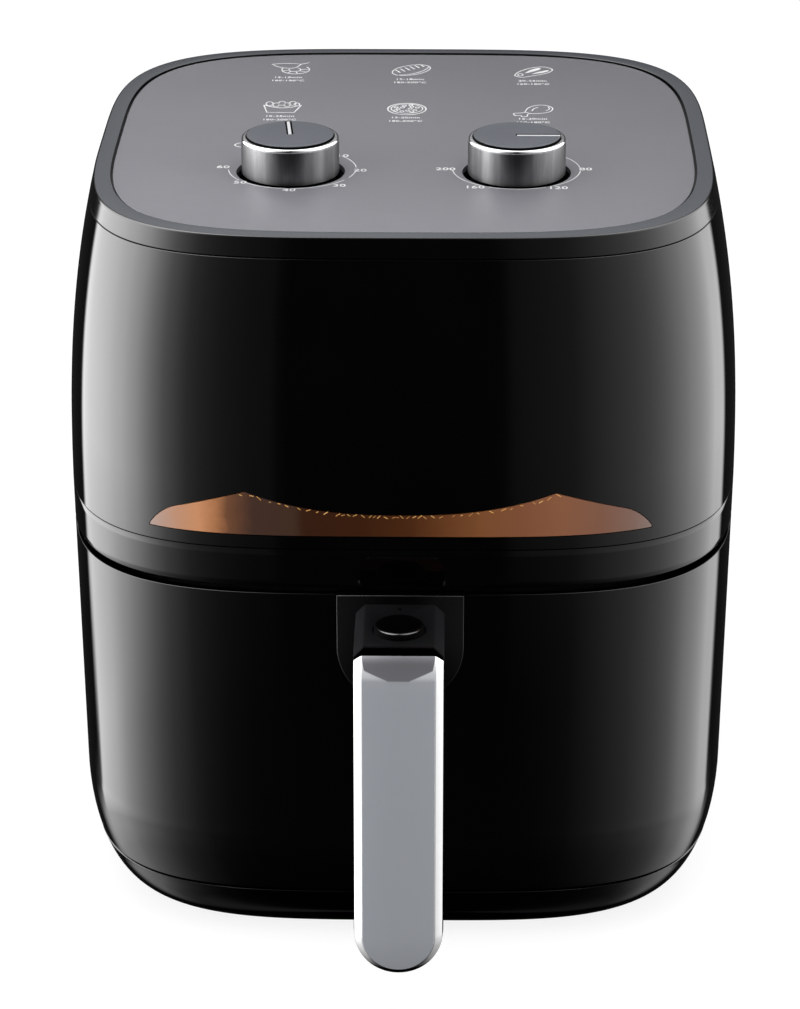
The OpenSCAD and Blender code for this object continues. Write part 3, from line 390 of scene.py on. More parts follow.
def makeFinish(name, row):
    tone, other, tintScale, roughness, spread, grainScale, grainDepth, more = row
    material, tree, shader = newMaterial(name)
    stretch = more.get("stretch", (1, 1, 1))
    colour = placeGroup(tree, "tint", (-900, 200), Tone=(*tone, 1), Other_Tone=(*other, 1), Scale=tintScale,
                        Stretch=stretch)["Color"]
    for kind in ("dust", "lean", "upper", "shadeSweep", "bend"):
        if kind not in more:
            continue
        step = placeGroup(tree, kind, (-600, 450), Color=colour, **more[kind])
        colour = step["Color"]
        if kind == "bend":
            feed(tree, shader, Specular_IOR_Level=step["Level"])
    if "turned" in more:
        # metal turned on a lathe, with painted reflection bands: darker where it faces the eye or slips out
        # of sight
        tangent = addNode(tree, "Tangent", (-300, -450), direction_type="RADIAL", axis="Z")
        feed(tree, shader, Tangent=tangent.outputs[0], Anisotropic=more["turned"], Anisotropic_Rotation=0.25)
        facing = addNode(tree, "LayerWeight", (-700, 700)).outputs["Facing"]
        colour = scaleTone(tree, (-100, 500), colour, rampNode(tree, (-400, 700), facing, more["fall"], 0, 1))
    roughen(tree, shader, grainDepth, Scale=grainScale, Stretch=stretch, Roughness=roughness, Spread=spread)
    feed(tree, shader, Base_Color=colour, Metallic=more.get("metallic", 0.0), IOR=more.get("ior", 1.5))
    return material


materials = {name: makeFinish(name, spec) for name, spec in finishes.items()}

amber = {
    "halfWidth": 0.101,
    # painted light across the pane: the lit cavity's brightness, from its left tip to its right tip
    "stops": [(0.00, (0.52, 0.38, 0.33)), (0.06, (0.64, 0.33, 0.20)), (0.10, (0.72, 0.33, 0.16)),
              (0.135, (0.50, 0.21, 0.09)), (0.16, (0.19, 0.08, 0.04)), (0.21, (0.068, 0.034, 0.024)),
              (0.29, (0.066, 0.034, 0.022)), (0.31, (0.046, 0.016, 0.008)), (0.42, (0.054, 0.017, 0.006)),
              (0.52, (0.085, 0.027, 0.009)), (0.60, (0.175, 0.062, 0.022)), (0.66, (0.24, 0.092, 0.034)),
              (0.74, (0.26, 0.10, 0.047)), (0.82, (0.31, 0.125, 0.063)), (0.90, (0.265, 0.12, 0.075)),
              (0.96, (0.27, 0.155, 0.12)), (1.00, (0.32, 0.23, 0.20))],
}


def makeAmber():
    # smoked amber glass, opaque, with the lit cavity behind it painted in as painted light, brighter towards
    # its ends
    material, tree, shader = newMaterial("amberGlass")
    noise = noiseNode(tree, (-900, -150), coordsOf(tree, (-1100, -150)), 220, 4)
    along = mathNode(tree, "MULTIPLY_ADD", (-700, 100), splitCoords(tree, (-900, 100))["X"],
                     0.5 / amber["halfWidth"], 0.5)
    wobble = mathNode(tree, "MULTIPLY", (-700, -150), mathNode(tree, "SUBTRACT", (-800, -150), noise, 0.5),
                      0.02)
    ramp = addNode(tree, "ValToRGB", (-500, 100))
    tree.links.new(mathNode(tree, "ADD", (-600, 100), along, wobble), ramp.inputs[0])
    stops = ramp.color_ramp.elements
    while len(stops) < len(amber["stops"]):
        stops.new(0.5)
    for stop, (place, colour) in zip(stops, amber["stops"]):
        stop.position = place
        stop.color = (*colour, 1)
    roughen(tree, shader, 0.01, Scale=800, Roughness=0.12, Spread=0.05)
    feed(tree, shader, Base_Color=ramp.outputs[0], IOR=1.38)
    return material


materials["amberGlass"] = makeAmber()
print("finishes made:", len(materials))

finishOf = {
    "rubberBlack": ["feet"],
    "satinBlack": ["chassis_floor", "drawer_runners", "exhaust_grille", "cord_gland", "door_switch",
                   "terminal_block", "cooling_fan"],
    "glossBlack": ["release_button"],
    "amberGlass": ["inner_glass"],
    "sheetSteel": ["chamber_liner", "ceiling_plate", "motor_base", "motor_stator", "motor_cap"],
    "brightWire": ["element_clips", "element_guard", "timer_bell", "thermostat_bulb", "base_screws",
                   "pan_catch", "timer_shaft", "thermostat_shaft", "motor_shaft", "motor_rotor"],
    "darkSteel": ["handle_screws", "button_spring", "latch_bar"],
    "elementTube": ["heating_element"],
    "aluminium": ["hot_air_fan"],
    "copperCoil": ["motor_coil"],
    "nonstick": ["drawer_pan", "basket", "crisper_plate"],
    "creamPlastic": ["timer_body", "thermostat_body"],
    "brownPlastic": ["thermal_fuse"],
    "redSilicone": ["plate_feet", "wiring_loom"],
    "ceramicWhite": ["oven_lamp"],
    "pointerWhite": ["lamp_cover"],
}
for finish, names in finishOf.items():
    for name in names:
        data = nodes[name].data
        data.materials.clear()
        data.materials.append(materials[finish])


# making meshes

def meshOf(name, verts, faces, weld=True):
    mesh = bpy.data.meshes.new(name)
    mesh.from_pydata(verts, [], faces)
    work = bmesh.new()
    work.from_mesh(mesh)
    if weld:
        bmesh.ops.remove_doubles(work, verts=work.verts, dist=1e-6)
    bmesh.ops.recalc_face_normals(work, faces=work.faces)
    work.to_mesh(mesh)
    work.free()
    return mesh


def sharpen(piece, angle=32, smooth=True):
    if smooth:
        piece.data.shade_smooth()
    piece.data.set_sharp_from_angle(angle=math.radians(angle))


def addPiece(name, verts, faces, finish, rides, slot=None, stands=(), sharp=32):
    piece = bpy.data.objects.new(name, meshOf(name, verts, faces))
    scene.collection.objects.link(piece)
    piece.data.materials.append(materials[finish])
    sharpen(piece, sharp)
    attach(piece, rides)
    if stands:
        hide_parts(*stands)
    return piece


def cutPiece(piece, cutters, operation="DIFFERENCE"):
    for cutter in cutters:
        change = piece.modifiers.new("cut", "BOOLEAN")
        change.operation = operation
        change.solver = "EXACT"
        change.object = cutter
    bpy.context.view_layer.update()
    graph = bpy.context.evaluated_depsgraph_get()
    mesh = bpy.data.meshes.new_from_object(piece.evaluated_get(graph))
    piece.modifiers.clear()
    finish = piece.data.materials[0]
    piece.data = mesh
    mesh.materials.clear()
    mesh.materials.append(finish)
    for face in mesh.polygons:
        face.material_index = 0
    for cutter in cutters:
        bpy.data.objects.remove(cutter)
    return piece


def tubeFaces(count, rings, start=0):
    # faces along a tube of rings with the same count of points, then its two ends
    faces = [(start + k * count + i, start + k * count + (i + 1) % count,
              start + (k + 1) * count + (i + 1) % count, start + (k + 1) * count + i)
             for k in range(rings - 1) for i in range(count)]
    last = start + (rings - 1) * count
    return faces + [tuple(range(start, start + count)), tuple(range(last, last + count))]


def prism(outline, low, high, axis):
    # outline swept along y or z; used to cut other pieces
    count = len(outline)
    place = {"z": lambda p, d: (p[0], p[1], d), "y": lambda p, d: (p[0], d, p[1])}[axis]
    verts = [place(p, d) for d in (low, high) for p in outline]
    faces = [(i, (i + 1) % count, count + (i + 1) % count, count + i) for i in range(count)]
    faces += [tuple(range(count)), tuple(range(2 * count - 1, count - 1, -1))]
    cutter = bpy.data.objects.new("cutter", meshOf("cutter", verts, faces, weld=False))
    scene.collection.objects.link(cutter)
    return cutter


def boxCutter(low, high):
    corners = [(low[0], low[1]), (high[0], low[1]), (high[0], high[1]), (low[0], high[1])]
    return prism(corners, low[2], high[2], "z")


def circle(x, y, radius, count=96):
    return [(x + radius * math.cos(2 * math.pi * i / count), y + radius * math.sin(2 * math.pi * i / count))
            for i in range(count)]


def arcPoints(x, y, radius, degrees):
    return [(x + radius * math.cos(math.radians(a)), y + radius * math.sin(math.radians(a))) for a in degrees]


def lathe(name, profile, x, y, finish, rides, count=128, **more):
    # profile of (radius, height) turned round an upright axis; radius 0 closes it
    verts, rings = [], []
    for radius, z in profile:
        if radius < 1e-7:
            rings.append([len(verts)])
            verts.append((x, y, z))
        else:
            rings.append(list(range(len(verts), len(verts) + count)))
            verts += [(px, py, z) for px, py in circle(x, y, radius, count)]
    faces = []
    pairs = list(zip(rings, rings[1:]))
    if len(rings[0]) > 1 and len(rings[-1]) > 1:
        pairs.append((rings[-1], rings[0]))
    for a, b in pairs:
        for i in range(count):
            j = (i + 1) % count
            if len(a) == 1:
                faces.append((a[0], b[j], b[i]))
            elif len(b) == 1:
                faces.append((a[i], a[j], b[0]))
            else:
                faces.append((a[i], a[j], b[j], b[i]))
    return addPiece(name, verts, faces, finish, rides, **more)


def arc(x, y, radius, start, end, count):
    return arcPoints(x, y, radius, [start + (end - start) * i / count for i in range(count + 1)])


# body shape

body = {
    "halfWidth": 0.140,
    "halfDepth": 0.145,
    "power": 3.9,
    "sides": 320,
    "wall": 0.0028,
    "crown": 0.0124,
    "low": 0.0018,
    "base": 0.0225,
    "baseRound": 0.052,
    "roundTop": 0.056,
    "liner": 0.015,
}
beltBox, coverBox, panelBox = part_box("belt_ring"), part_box("top_cover"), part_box("top_panel")
trayBox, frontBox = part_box("base_tray"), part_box("drawer_front")
shellBox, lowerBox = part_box("upper_shell"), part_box("lower_housing")
bodyY = (beltBox[0].y + beltBox[1].y) / 2
beltTop, topZ = beltBox[1].z, coverBox[1].z


def inset(z):
    base = 0.0
    if z < body["roundTop"]:
        part = (body["roundTop"] - z) / body["baseRound"]
        base = body["base"] * (1 - math.sqrt(max(0.0, 1 - part * part)))
    low = body["low"] * min(1.0, max(0.0, (beltTop - z) / (beltTop - body["roundTop"])))
    crown = body["crown"] * max(0.0, (z - beltTop) / (topZ - beltTop)) ** 2.5
    return base + low + crown


def planPoint(angle, drawnIn):
    a, b, p = body["halfWidth"] - drawnIn, body["halfDepth"] - drawnIn, body["power"]
    c, s = math.cos(angle), math.sin(angle)
    radius = ((abs(c) / a) ** p + (abs(s) / b) ** p) ** (-1 / p)
    return radius * c, radius * s + bodyY


def planRing(name, section, finish, rides, **more):
    # closed section of (height, inset) carried round the body's plan
    count, sides = len(section), body["sides"]
    verts = [(*planPoint(2 * math.pi * (i + 0.5) / sides, d), z) for z, d in section for i in range(sides)]
    faces = [(((k + 1) % count) * sides + i, ((k + 1) % count) * sides + (i + 1) % sides,
              k * sides + (i + 1) % sides, k * sides + i)
             for k in range(count) for i in range(sides)]
    return addPiece(name, verts, faces, finish, rides, **more)


def planPlate(name, drawnIn, low, high, edge, finish, rides, **more):
    # closed plate in the body's plan, with rounded upper edge
    sides = body["sides"]
    rings = [(low, drawnIn), (high - edge, drawnIn)] + [
        (high - edge + edge * math.sin(math.radians(a)), drawnIn + edge * (1 - math.cos(math.radians(a))))
        for a in (22.5, 45, 67.5, 90)]
    verts = [(*planPoint(2 * math.pi * (i + 0.5) / sides, d), z) for z, d in rings for i in range(sides)]
    return addPiece(name, verts, tubeFaces(sides, len(rings)), finish, rides, **more)


def outerLevels(low, high, count):
    return [low + (high - low) * i / count for i in range(count + 1)]


def wallSection(low, high, count, edge, depth):
    # outer side with softened edges, then the inner side back down
    points = [(low, inset(low) + edge)]
    points += [(low + edge * (1 - math.cos(a)), inset(low) + edge * (1 - math.sin(a))) for a in (0.5, 1.05)]
    points += [(z, inset(z)) for z in outerLevels(low + edge, high - edge, count)]
    points += [(high - edge * (1 - math.cos(a)), inset(high) + edge * (1 - math.sin(a))) for a in (1.05, 0.5)]
    points += [(high, inset(high) + edge)]
    points += [(z, inset(z) + depth) for z in reversed(outerLevels(low, high, max(3, count // 3)))]
    return points


def followBody(piece, reach=0.00012, step=0.0002):
    # corner normals of the outer skin taken from the body's own curve, so cut edges don't disturb the gloss
    mesh, p = piece.data, body["power"]
    normals = np.zeros(len(mesh.loops) * 3, np.float32)
    mesh.corner_normals.foreach_get("vector", normals)
    normals = normals.reshape(-1, 3)
    points = np.array([v.co for v in mesh.vertices]).reshape(-1, 3)

    def parts(x, y, z):
        a, b = body["halfWidth"] - inset(z), body["halfDepth"] - inset(z)
        return a, b, (abs(x) / a) ** p, (abs(y - bodyY) / b) ** p

    def isOuter(index):
        a, _, fx, fy = parts(*points[index])
        return abs((fx + fy) ** (1 / p) - 1) * a <= reach

    for face in mesh.polygons:
        if not all(isOuter(index) for index in face.vertices):
            continue
        for loop, index in zip(face.loop_indices, face.vertices):
            x, y, z = points[index]
            a, b, fx, fy = parts(x, y, z)
            slope = (inset(z + step) - inset(z - step)) / (2 * step)
            across = fx / max(abs(x), 1e-6) * (1 if x > 0 else -1)
            along = fy / max(abs(y - bodyY), 1e-6) * (1 if y > bodyY else -1)
            normals[loop] = Vector((across, along, (fx / a + fy / b) * slope)).normalized()
    mesh.normals_split_custom_set([tuple(n) for n in normals])


def finishSkin(piece):
    sharpen(piece)
    followBody(piece)


# housing

seams = {"soft": 0.0004, "fine": 0.0003, "beltGroove": 0.0006, "front": 0.0004, "glandHole": 0.0076}
halfWidth, halfDepth, wall = body["halfWidth"], body["halfDepth"], body["wall"]
frontCut = lowerBox[0].y - seams["front"]

window = {
    "width": 0.2018,
    "peaks": 0.124,
    "height": 0.0189,
    "dip": 0.0097,
    "dipCurve": 2.4,
    "fall": 0.01175,
    "straight": 0.7,
    "roundCurve": 2.4,
    "roundPower": 0.75,
    "tip": 0.0006,
    "gap": 0.00035,
    "thickness": 0.0024,
    "lift": 0.0055,
}
windowZ = beltTop + window["lift"]
blackPiece = {"rides": "housing", "finish": "glossBlack", "slot": "gloss_black"}


def windowTop(x):
    # upper edge: a dip between two peaks, then a straight fall that rounds off at each end
    peak, end, height = window["peaks"] / 2, window["width"] / 2, window["height"]
    x = abs(x)
    if x < peak:
        return window["dip"] + (height - window["dip"]) * (x / peak) ** window["dipCurve"]
    share = min(1.0, (x - peak) / (end - peak))
    level = height - window["fall"] * share
    if share < window["straight"]:
        return level
    past = (share - window["straight"]) / (1 - window["straight"])
    rounded = max(0.0, 1 - past ** window["roundCurve"]) ** window["roundPower"]
    return window["tip"] + (level - window["tip"]) * rounded


def windowOutline(gap):
    end = window["width"] / 2 - gap
    xs = sorted([end * math.sin(math.pi / 2 * i / 60) for i in range(61)] + [window["peaks"] / 2])
    tops = [(x, windowZ + windowTop(min(x + gap / 2, window["width"] / 2)) - gap) for x in xs]
    right = tops + [(end, windowZ + gap)]
    left = [(-x, z) for x, z in reversed(right[1:])]
    return right + left


def windowCutter(gap):
    return prism(windowOutline(gap), bodyY - halfDepth - 0.002, bodyY - halfDepth / 2, "y")


tray = {"floor": 0.0025, "edge": 0.0003, "lip": 0.0004, "levels": 22, "slotPitch": 0.012, "slotHalf": 0.002,
        "slotReach": 0.03}


def makeHousing():
    shell = planRing("upperShell", wallSection(shellBox[0].z, shellBox[1].z, 44, seams["soft"], wall),
                     stands=("upper_shell",), **blackPiece)
    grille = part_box("exhaust_grille")
    cutPiece(shell, [windowCutter(0), boxCutter((grille[0].x, bodyY + halfDepth * 0.7, grille[0].z),
                                                (grille[1].x, bodyY + halfDepth + 0.01, grille[1].z))])
    finishSkin(shell)
    lens = planRing("windowLens", [(z, inset(z)) for z in outerLevels(windowZ - 0.001, windowZ + 0.021, 10)]
                    + [(z, inset(z) + window["thickness"]) for z in (windowZ + 0.021, windowZ - 0.001)],
                    "amberGlass", "housing", slot="amber_window", stands=("window_lens",))
    cutPiece(lens, [windowCutter(window["gap"])], "INTERSECT")
    finishSkin(lens)

    low, high, soft, groove = beltBox[0].z, beltBox[1].z, seams["soft"], seams["beltGroove"]
    inner = body["liner"] - 0.0003
    section = [(low, inset(low) + groove + soft), (low + 0.0002, inset(low) + groove),
               (low + 0.0008, inset(low) + 0.0002), (low + 0.0014, inset(low + 0.0014))]
    section += [(z, inset(z)) for z in outerLevels(low + 0.003, high - 0.003, 5)]
    section += [(high - 0.0006, inset(high - 0.0006)), (high - 0.0003, inset(high) + 0.00012),
                (high - 0.00015, inset(high) + 0.0004), (high, inset(high) + groove + soft),
                (high, inset(high) + wall + 0.002), (high - 0.003, inset(high) + wall + 0.002),
                (low + 0.003, inner), (low, inner)]
    planRing("beltRing", section, stands=("belt_ring",), **blackPiece)

    lower = planRing("lowerHousing", wallSection(lowerBox[0].z, lowerBox[1].z, 20, seams["soft"], wall),
                     stands=("lower_housing",), **blackPiece)
    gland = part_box("cord_gland")
    glandX, glandZ = (gland[0].x + gland[1].x) / 2, (gland[0].z + gland[1].z) / 2
    cutPiece(lower, [boxCutter((-0.2, bodyY - 0.2, lowerBox[0].z - 0.002),
                               (0.2, frontCut + seams["front"], lowerBox[1].z + 0.002)),
                     prism(circle(glandX, glandZ, seams["glandHole"], 48), bodyY + halfDepth * 0.7,
                           bodyY + halfDepth + 0.01, "y")])
    finishSkin(lower)

    # tray under the body, rounded in towards the feet
    footTop, trayTop = trayBox[0].z, trayBox[1].z
    first = math.asin((body["roundTop"] - trayTop) / body["baseRound"])
    angles = [math.pi / 2 + (first - math.pi / 2) * i / tray["levels"] for i in range(tray["levels"] + 1)]
    heights = [body["roundTop"] - body["baseRound"] * math.sin(a) for a in angles]
    bottom, floorTop = body["base"] + body["low"], footTop + tray["floor"]
    section = [(z, inset(z)) for z in heights[:-1]]
    section += [(trayTop - tray["lip"], inset(trayTop)), (trayTop, inset(trayTop) + 0.0005)]
    section += [(z, inset(z) + wall) for z in reversed(heights[6:])]
    section += [(floorTop, bottom + 0.001), (floorTop, bottom + 0.008), (footTop, bottom + 0.008)]
    planRing("baseTray", section, stands=("base_tray",), **blackPiece)
    floor = planPlate("trayFloor", bottom + 0.0075, footTop, floorTop, tray["edge"], "satinBlack", "housing",
                      slot="matte_black")
    pitch, slotHalf, reach = tray["slotPitch"], tray["slotHalf"], tray["slotReach"]
    slots = [boxCutter((i * pitch - slotHalf, bodyY - reach, footTop - 0.001),
                       (i * pitch + slotHalf, bodyY + reach, footTop + 0.004)) for i in range(-4, 5)]
    cutPiece(floor, slots)
    sharpen(floor, smooth=False)


makeHousing()
print("housing made")


# top

top = {
    "band": 0.0068,
    "edge": 0.0011,
    "panelGap": 0.0009,
    "panelEdge": 0.0003,
    "wellRadius": 0.0222,
    "wellWall": 0.002,
    "wellDepth": 0.009,
    "shaftHole": 0.0038,
    "deck": 0.0025,
}
knobSpots = {}
for side in ("timer", "thermostat"):
    low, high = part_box(side + "_sleeve")
    knobSpots[side] = ((low.x + high.x) / 2, (low.y + high.y) / 2)
wellRadius = top["wellRadius"]
panelTop, panelLow = panelBox[1].z, panelBox[0].z
wellFloor = panelTop - top["wellDepth"]


def makeTop():
    rim, band, edge = shellBox[1].z, body["crown"] + top["band"], top["edge"]
    deckLow = panelLow - top["deck"]
    section = [(rim, inset(rim) + 0.0006), (rim + 0.0001, inset(rim) + 0.0004),
               (rim + 0.0006, inset(rim) + 0.0001)]
    section += [(z, inset(z)) for z in outerLevels(rim + 0.0014, topZ - edge, 6)]
    section += [(topZ - edge + edge * math.sin(math.radians(a)),
                 inset(topZ - edge) + edge * (1 - math.cos(math.radians(a))))
                for a in (18, 36, 54, 72, 90)]
    section += [(topZ, band - 0.0001), (topZ - 0.0001, band), (deckLow, band),
                (deckLow, band - 0.002), (rim + 0.002, band - 0.002), (rim, inset(rim) + wall)]
    planRing("topRim", section, "rimBlack", "housing", slot="gloss_black", stands=("top_cover",))
    holes = [prism(circle(x, y, wellRadius), deckLow - 0.002, panelTop + 0.002, "z")
             for x, y in knobSpots.values()]
    deck = planPlate("panelDeck", band - 0.0004, deckLow, panelLow - 0.00005, 0.0002, "satinBlack", "housing",
                     slot="matte_black")
    cutPiece(deck, holes)
    sharpen(deck, smooth=False)
    for side, (x, y) in knobSpots.items():
        outer, hole = wellRadius + top["wellWall"], top["shaftHole"]
        # unreflecting black walls: the well's black plastic with its shade painted in
        lathe(side + "Well", [(wellRadius, panelLow - 0.0002), (wellRadius, wellFloor + 0.0008),
                              (wellRadius - 0.0008, wellFloor), (hole, wellFloor), (hole, wellFloor - 0.002),
                              (outer, wellFloor - 0.002), (outer, deckLow + 0.0005),
                              (wellRadius + 0.00002, deckLow + 0.0005)],
              x, y, "blackWithShade", "housing", slot="matte_black")
    panel = planPlate("topPanel", band + top["panelGap"], panelLow, panelTop, top["panelEdge"],
                      "panelGrey", "housing", slot="satin_grey", stands=("top_panel",))
    holes = [prism(circle(x, y, wellRadius + 0.0001, 128), panelLow - 0.002, panelTop + 0.002, "z")
             for x, y in knobSpots.values()]
    cutPiece(panel, holes)
    sharpen(panel, 25)


makeTop()
print("top made")


# knobs

knob = {
    "radius": 0.020,
    "bevel": 0.0012,
    "capRadius": 0.0178,
    "gap": 0.0004,
    "capEdge": 0.0003,
    "capLift": 0.0006,
    "capRise": 0.0002,
    "grooveWidth": 0.0028,
    "grooveDepth": 0.0011,
    "pointerWidth": 0.0013,
    "sleeveWall": 0.0014,
    "coreWall": 0.0015,
    "pointerEdge": 0.00018,
    "pointerSink": 0.00015,
    "bedSink": 0.00035,
    "line": 96,
    "turns": {"timer": 95, "thermostat": 0},
}


def makeKnob(side):
    x, y = knobSpots[side]
    rides = side + "_knob"
    low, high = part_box(side + "_sleeve")[0].z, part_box(side + "_cap")[1].z
    r, b, c, e = knob["radius"], knob["bevel"], knob["capRadius"], knob["capEdge"]
    ringTop, high = high - knob["capLift"], high + knob["capRise"]
    inner, skirt, shoulder = c + knob["gap"], panelTop, ringTop - b

    def turned(name, profile, finish, slot, **more):
        return lathe(side + name, profile, x, y, finish, rides, slot=slot, **more)

    turned("Sleeve", [(r - 0.0005, skirt), (r - 0.00012, skirt + 0.0001), (r, skirt + 0.0004),
                      (r, shoulder - 0.0003), (r - 0.0001, shoulder - 0.0002), (inner, shoulder - 0.0002),
                      (inner, skirt)], "turnedMetal", "chrome", stands=(side + "_sleeve",))
    # black core below the skirt, and a black line round the cap: unreflecting black that paints the shade of
    # the dark gaps there
    core = r - knob["sleeveWall"]
    coreInner, collar = core - knob["coreWall"], inner - 0.00005
    turned("Core", [(core - 0.0004, low), (core, low + 0.0004), (core, skirt + 0.002),
                    (coreInner, skirt + 0.002), (coreInner, low)], "blackWithShade", "matte_black",
           count=knob["line"])
    turned("Collar", [(c - 0.0002, ringTop - 0.0034), (collar, ringTop - 0.0034), (collar, ringTop - 0.0003),
                      (c + 0.0001, high - 0.00012), (c - 0.0002, high - 0.00012)], "blackWithShade", "matte_black",
           count=knob["line"])
    turned("Ring", [(r - 0.0001, shoulder - 0.00022)] + arc(r - b, shoulder, b, 0, 90, 8)
           + [(inner + 0.0001, ringTop), (inner, ringTop - 0.0001), (inner, ringTop - 0.004),
              (inner + 0.0003, ringTop - 0.004)], "chrome", "chrome")
    turned("Seat", [(0, ringTop - 0.0035), (inner, ringTop - 0.0035), (inner, ringTop - 0.0045),
                    (0, ringTop - 0.0045)], "deepBlack", "matte_black", count=knob["line"])
    cap = turned("Cap", [(0, ringTop - 0.0036), (c, ringTop - 0.0036), (c, high - e)]
                 + arc(c - e, high - e, e, 0, 90, 4)[1:] + [(c * 0.6, high), (0, high)],
                 "slateGrey", "slate_grey", stands=(side + "_cap",))
    turn = Matrix.Translation((x, y, 0)) @ Matrix.Rotation(math.radians(knob["turns"][side]), 4, "Z")
    half, groove = knob["grooveWidth"] / 2, high - knob["grooveDepth"]
    cutter = boxCutter((-0.0006, -half, groove), (c + 0.002, half, high + 0.001))
    cutter.data.transform(turn)
    cutPiece(cap, [cutter])
    sharpen(cap)

    def bar(name, levels, start, end, half, finish, slot, **more):
        # box along the groove, drawn in by the second value at each level
        verts = [tuple(turn @ Vector((px, py, z))) for z, d in levels
                 for px, py in ((start + d, d - half), (end - d, d - half), (end - d, half - d),
                                (start + d, half - d))]
        addPiece(side + name, verts, tubeFaces(4, len(levels)), finish, rides, slot=slot, **more)

    # painted bar lying in the cap's groove, on a black bed
    edge, paint, bed = knob["pointerEdge"], high - knob["pointerSink"], high - knob["bedSink"]
    bar("Bed", [(groove + 0.00001, 0), (bed, 0)], 0.0002, c, half - 0.00002, "blackWithShade", "matte_black")
    bar("Pointer", [(groove + 0.00002, 0), (paint - edge, 0), (paint, edge)], 0, c + 0.0003,
        knob["pointerWidth"] / 2, "pointerWhite", "pointer_white", stands=(side + "_pointer",))


for side in knobSpots:
    makeKnob(side)
print("knobs made")


# printing on the panel

printing = {
    "stroke": 0.00050,
    "sink": 0.00003,
    "lift": 0.00003,
    "wordLift": 0.00001,
    "extrude": 0.00003,
    "spacing": 1.06,
    "bolder": 0.014,
    "arcRadius": 0.0262,
    "digit": 0.0047,
    "small": 0.0030,
    "lines": (0.0145, 0.0195),
    "wide": 1.12,
}
inkVerts, inkFaces = [], []


def inkRibbon(points, width, closed=False):
    count = len(points)
    z0, z1 = panelTop - printing["sink"], panelTop + printing["lift"]
    left, right = [], []
    for i, (x, y) in enumerate(points):
        before = points[i - 1] if (closed or i > 0) else points[i]
        after = points[(i + 1) % count] if (closed or i < count - 1) else points[i]
        direction = Vector((after[0] - before[0], after[1] - before[1]))
        if direction.length < 1e-9:
            direction = Vector((1, 0))
        direction.normalize()
        left.append((x - direction.y * width / 2, y + direction.x * width / 2))
        right.append((x + direction.y * width / 2, y - direction.x * width / 2))
    start = len(inkVerts)
    for i in range(count):
        for (px, py), z in ((left[i], z0), (right[i], z0), (right[i], z1), (left[i], z1)):
            inkVerts.append((px, py, z))
    faces = tubeFaces(4, count, start)
    if closed:
        last = start + 4 * (count - 1)
        faces[-2:] = [(last + k, last + (k + 1) % 4, start + (k + 1) % 4, start + k) for k in range(4)]
    inkFaces.extend(faces)


def inkPatch(points):
    z0, z1 = panelTop - printing["sink"], panelTop + printing["lift"]
    start, count = len(inkVerts), len(points)
    for z in (z0, z1):
        inkVerts.extend((x, y, z) for x, y in points)
    inkFaces.append(tuple(range(start, start + count)))
    inkFaces.append(tuple(range(start + 2 * count - 1, start + count - 1, -1)))
    for i in range(count):
        j = (i + 1) % count
        inkFaces.append((start + i, start + j, start + count + j, start + count + i))


def inkArc(x, y, across, along, start=0, end=360, turn=0.0, count=28):
    # part of an ellipse; a whole one leaves out its last point
    out, t = [], math.radians(turn)
    for i in range(count + (end - start != 360)):
        a = math.radians(start + (end - start) * i / count)
        px, py = across * math.cos(a), along * math.sin(a)
        out.append((x + px * math.cos(t) - py * math.sin(t), y + px * math.sin(t) + py * math.cos(t)))
    return out


def curveThrough(points, steps=6):
    # smooth line through a few points
    out = []
    for i in range(len(points) - 1):
        p0, p1, p2, p3 = (Vector(points[max(0, min(len(points) - 1, k))]) for k in (i - 1, i, i + 1, i + 2))
        for s in range(steps):
            t = s / steps
            out.append(tuple(0.5 * (2 * p1 + (p2 - p0) * t + (2 * p0 - 5 * p1 + 4 * p2 - p3) * t * t
                                    + (3 * p1 - p0 - 3 * p2 + p3) * t ** 3)))
    out.append(tuple(points[-1]))
    return out


def inkWords(words, x, y, size, spread=1.0):
    # digits and signs from Blender's own font, as thin solid print
    curve = bpy.data.curves.new("words", "FONT")
    curve.body = words
    curve.size = size
    curve.align_x, curve.align_y = "CENTER", "CENTER"
    curve.extrude = printing["extrude"]
    curve.resolution_u = 3
    curve.space_character = printing["spacing"]
    curve.offset = size * printing["bolder"]
    text = bpy.data.objects.new("words", curve)
    scene.collection.objects.link(text)
    text.scale = (spread, 1, 1)
    text.location = (x, y, panelTop + printing["wordLift"])
    bpy.context.view_layer.update()
    graph = bpy.context.evaluated_depsgraph_get()
    mesh = bpy.data.meshes.new_from_object(text.evaluated_get(graph))
    mesh.transform(text.matrix_world)
    bpy.data.objects.remove(text)
    start = len(inkVerts)
    inkVerts.extend(tuple(v.co) for v in mesh.vertices)
    inkFaces.extend(tuple(start + i for i in f.vertices) for f in mesh.polygons)
    bpy.data.meshes.remove(mesh)


# place of each drawing beside its row's line, its scale, and the words below it
backRow, frontRow = 0.1000, 0.0440
icons = {
    "prawn": {"row": backRow, "place": (-0.0528, 0.0018), "scale": (1, 1), "wordShift": 0.0023,
              "words": ("15-18min", "160-180°C")},
    "loaf": {"row": backRow, "place": (0.0014, 0.0), "scale": (1, 1.12), "wordShift": 0.0,
             "words": ("15-18min", "180-200°C")},
    "fish": {"row": backRow, "place": (0.0559, -0.0015), "scale": (1, 1), "wordShift": -0.0018,
             "words": ("20-25min", "160-180°C")},
    "chips": {"row": frontRow, "place": (-0.0538, 0.0), "scale": (0.93, 1), "wordShift": -0.0005,
              "words": ("18-25min", "180-200°C")},
    "pizza": {"row": frontRow, "place": (0.0002, -0.0036), "scale": (0.9, 0.85), "wordShift": -0.0019,
              "words": ("15-20min", "180-200°C")},
    "leg": {"row": frontRow, "place": (0.0548, -0.0043), "scale": (1, 1), "wordShift": -0.0030,
            "words": ("15-20min", "160-180°C")},
}


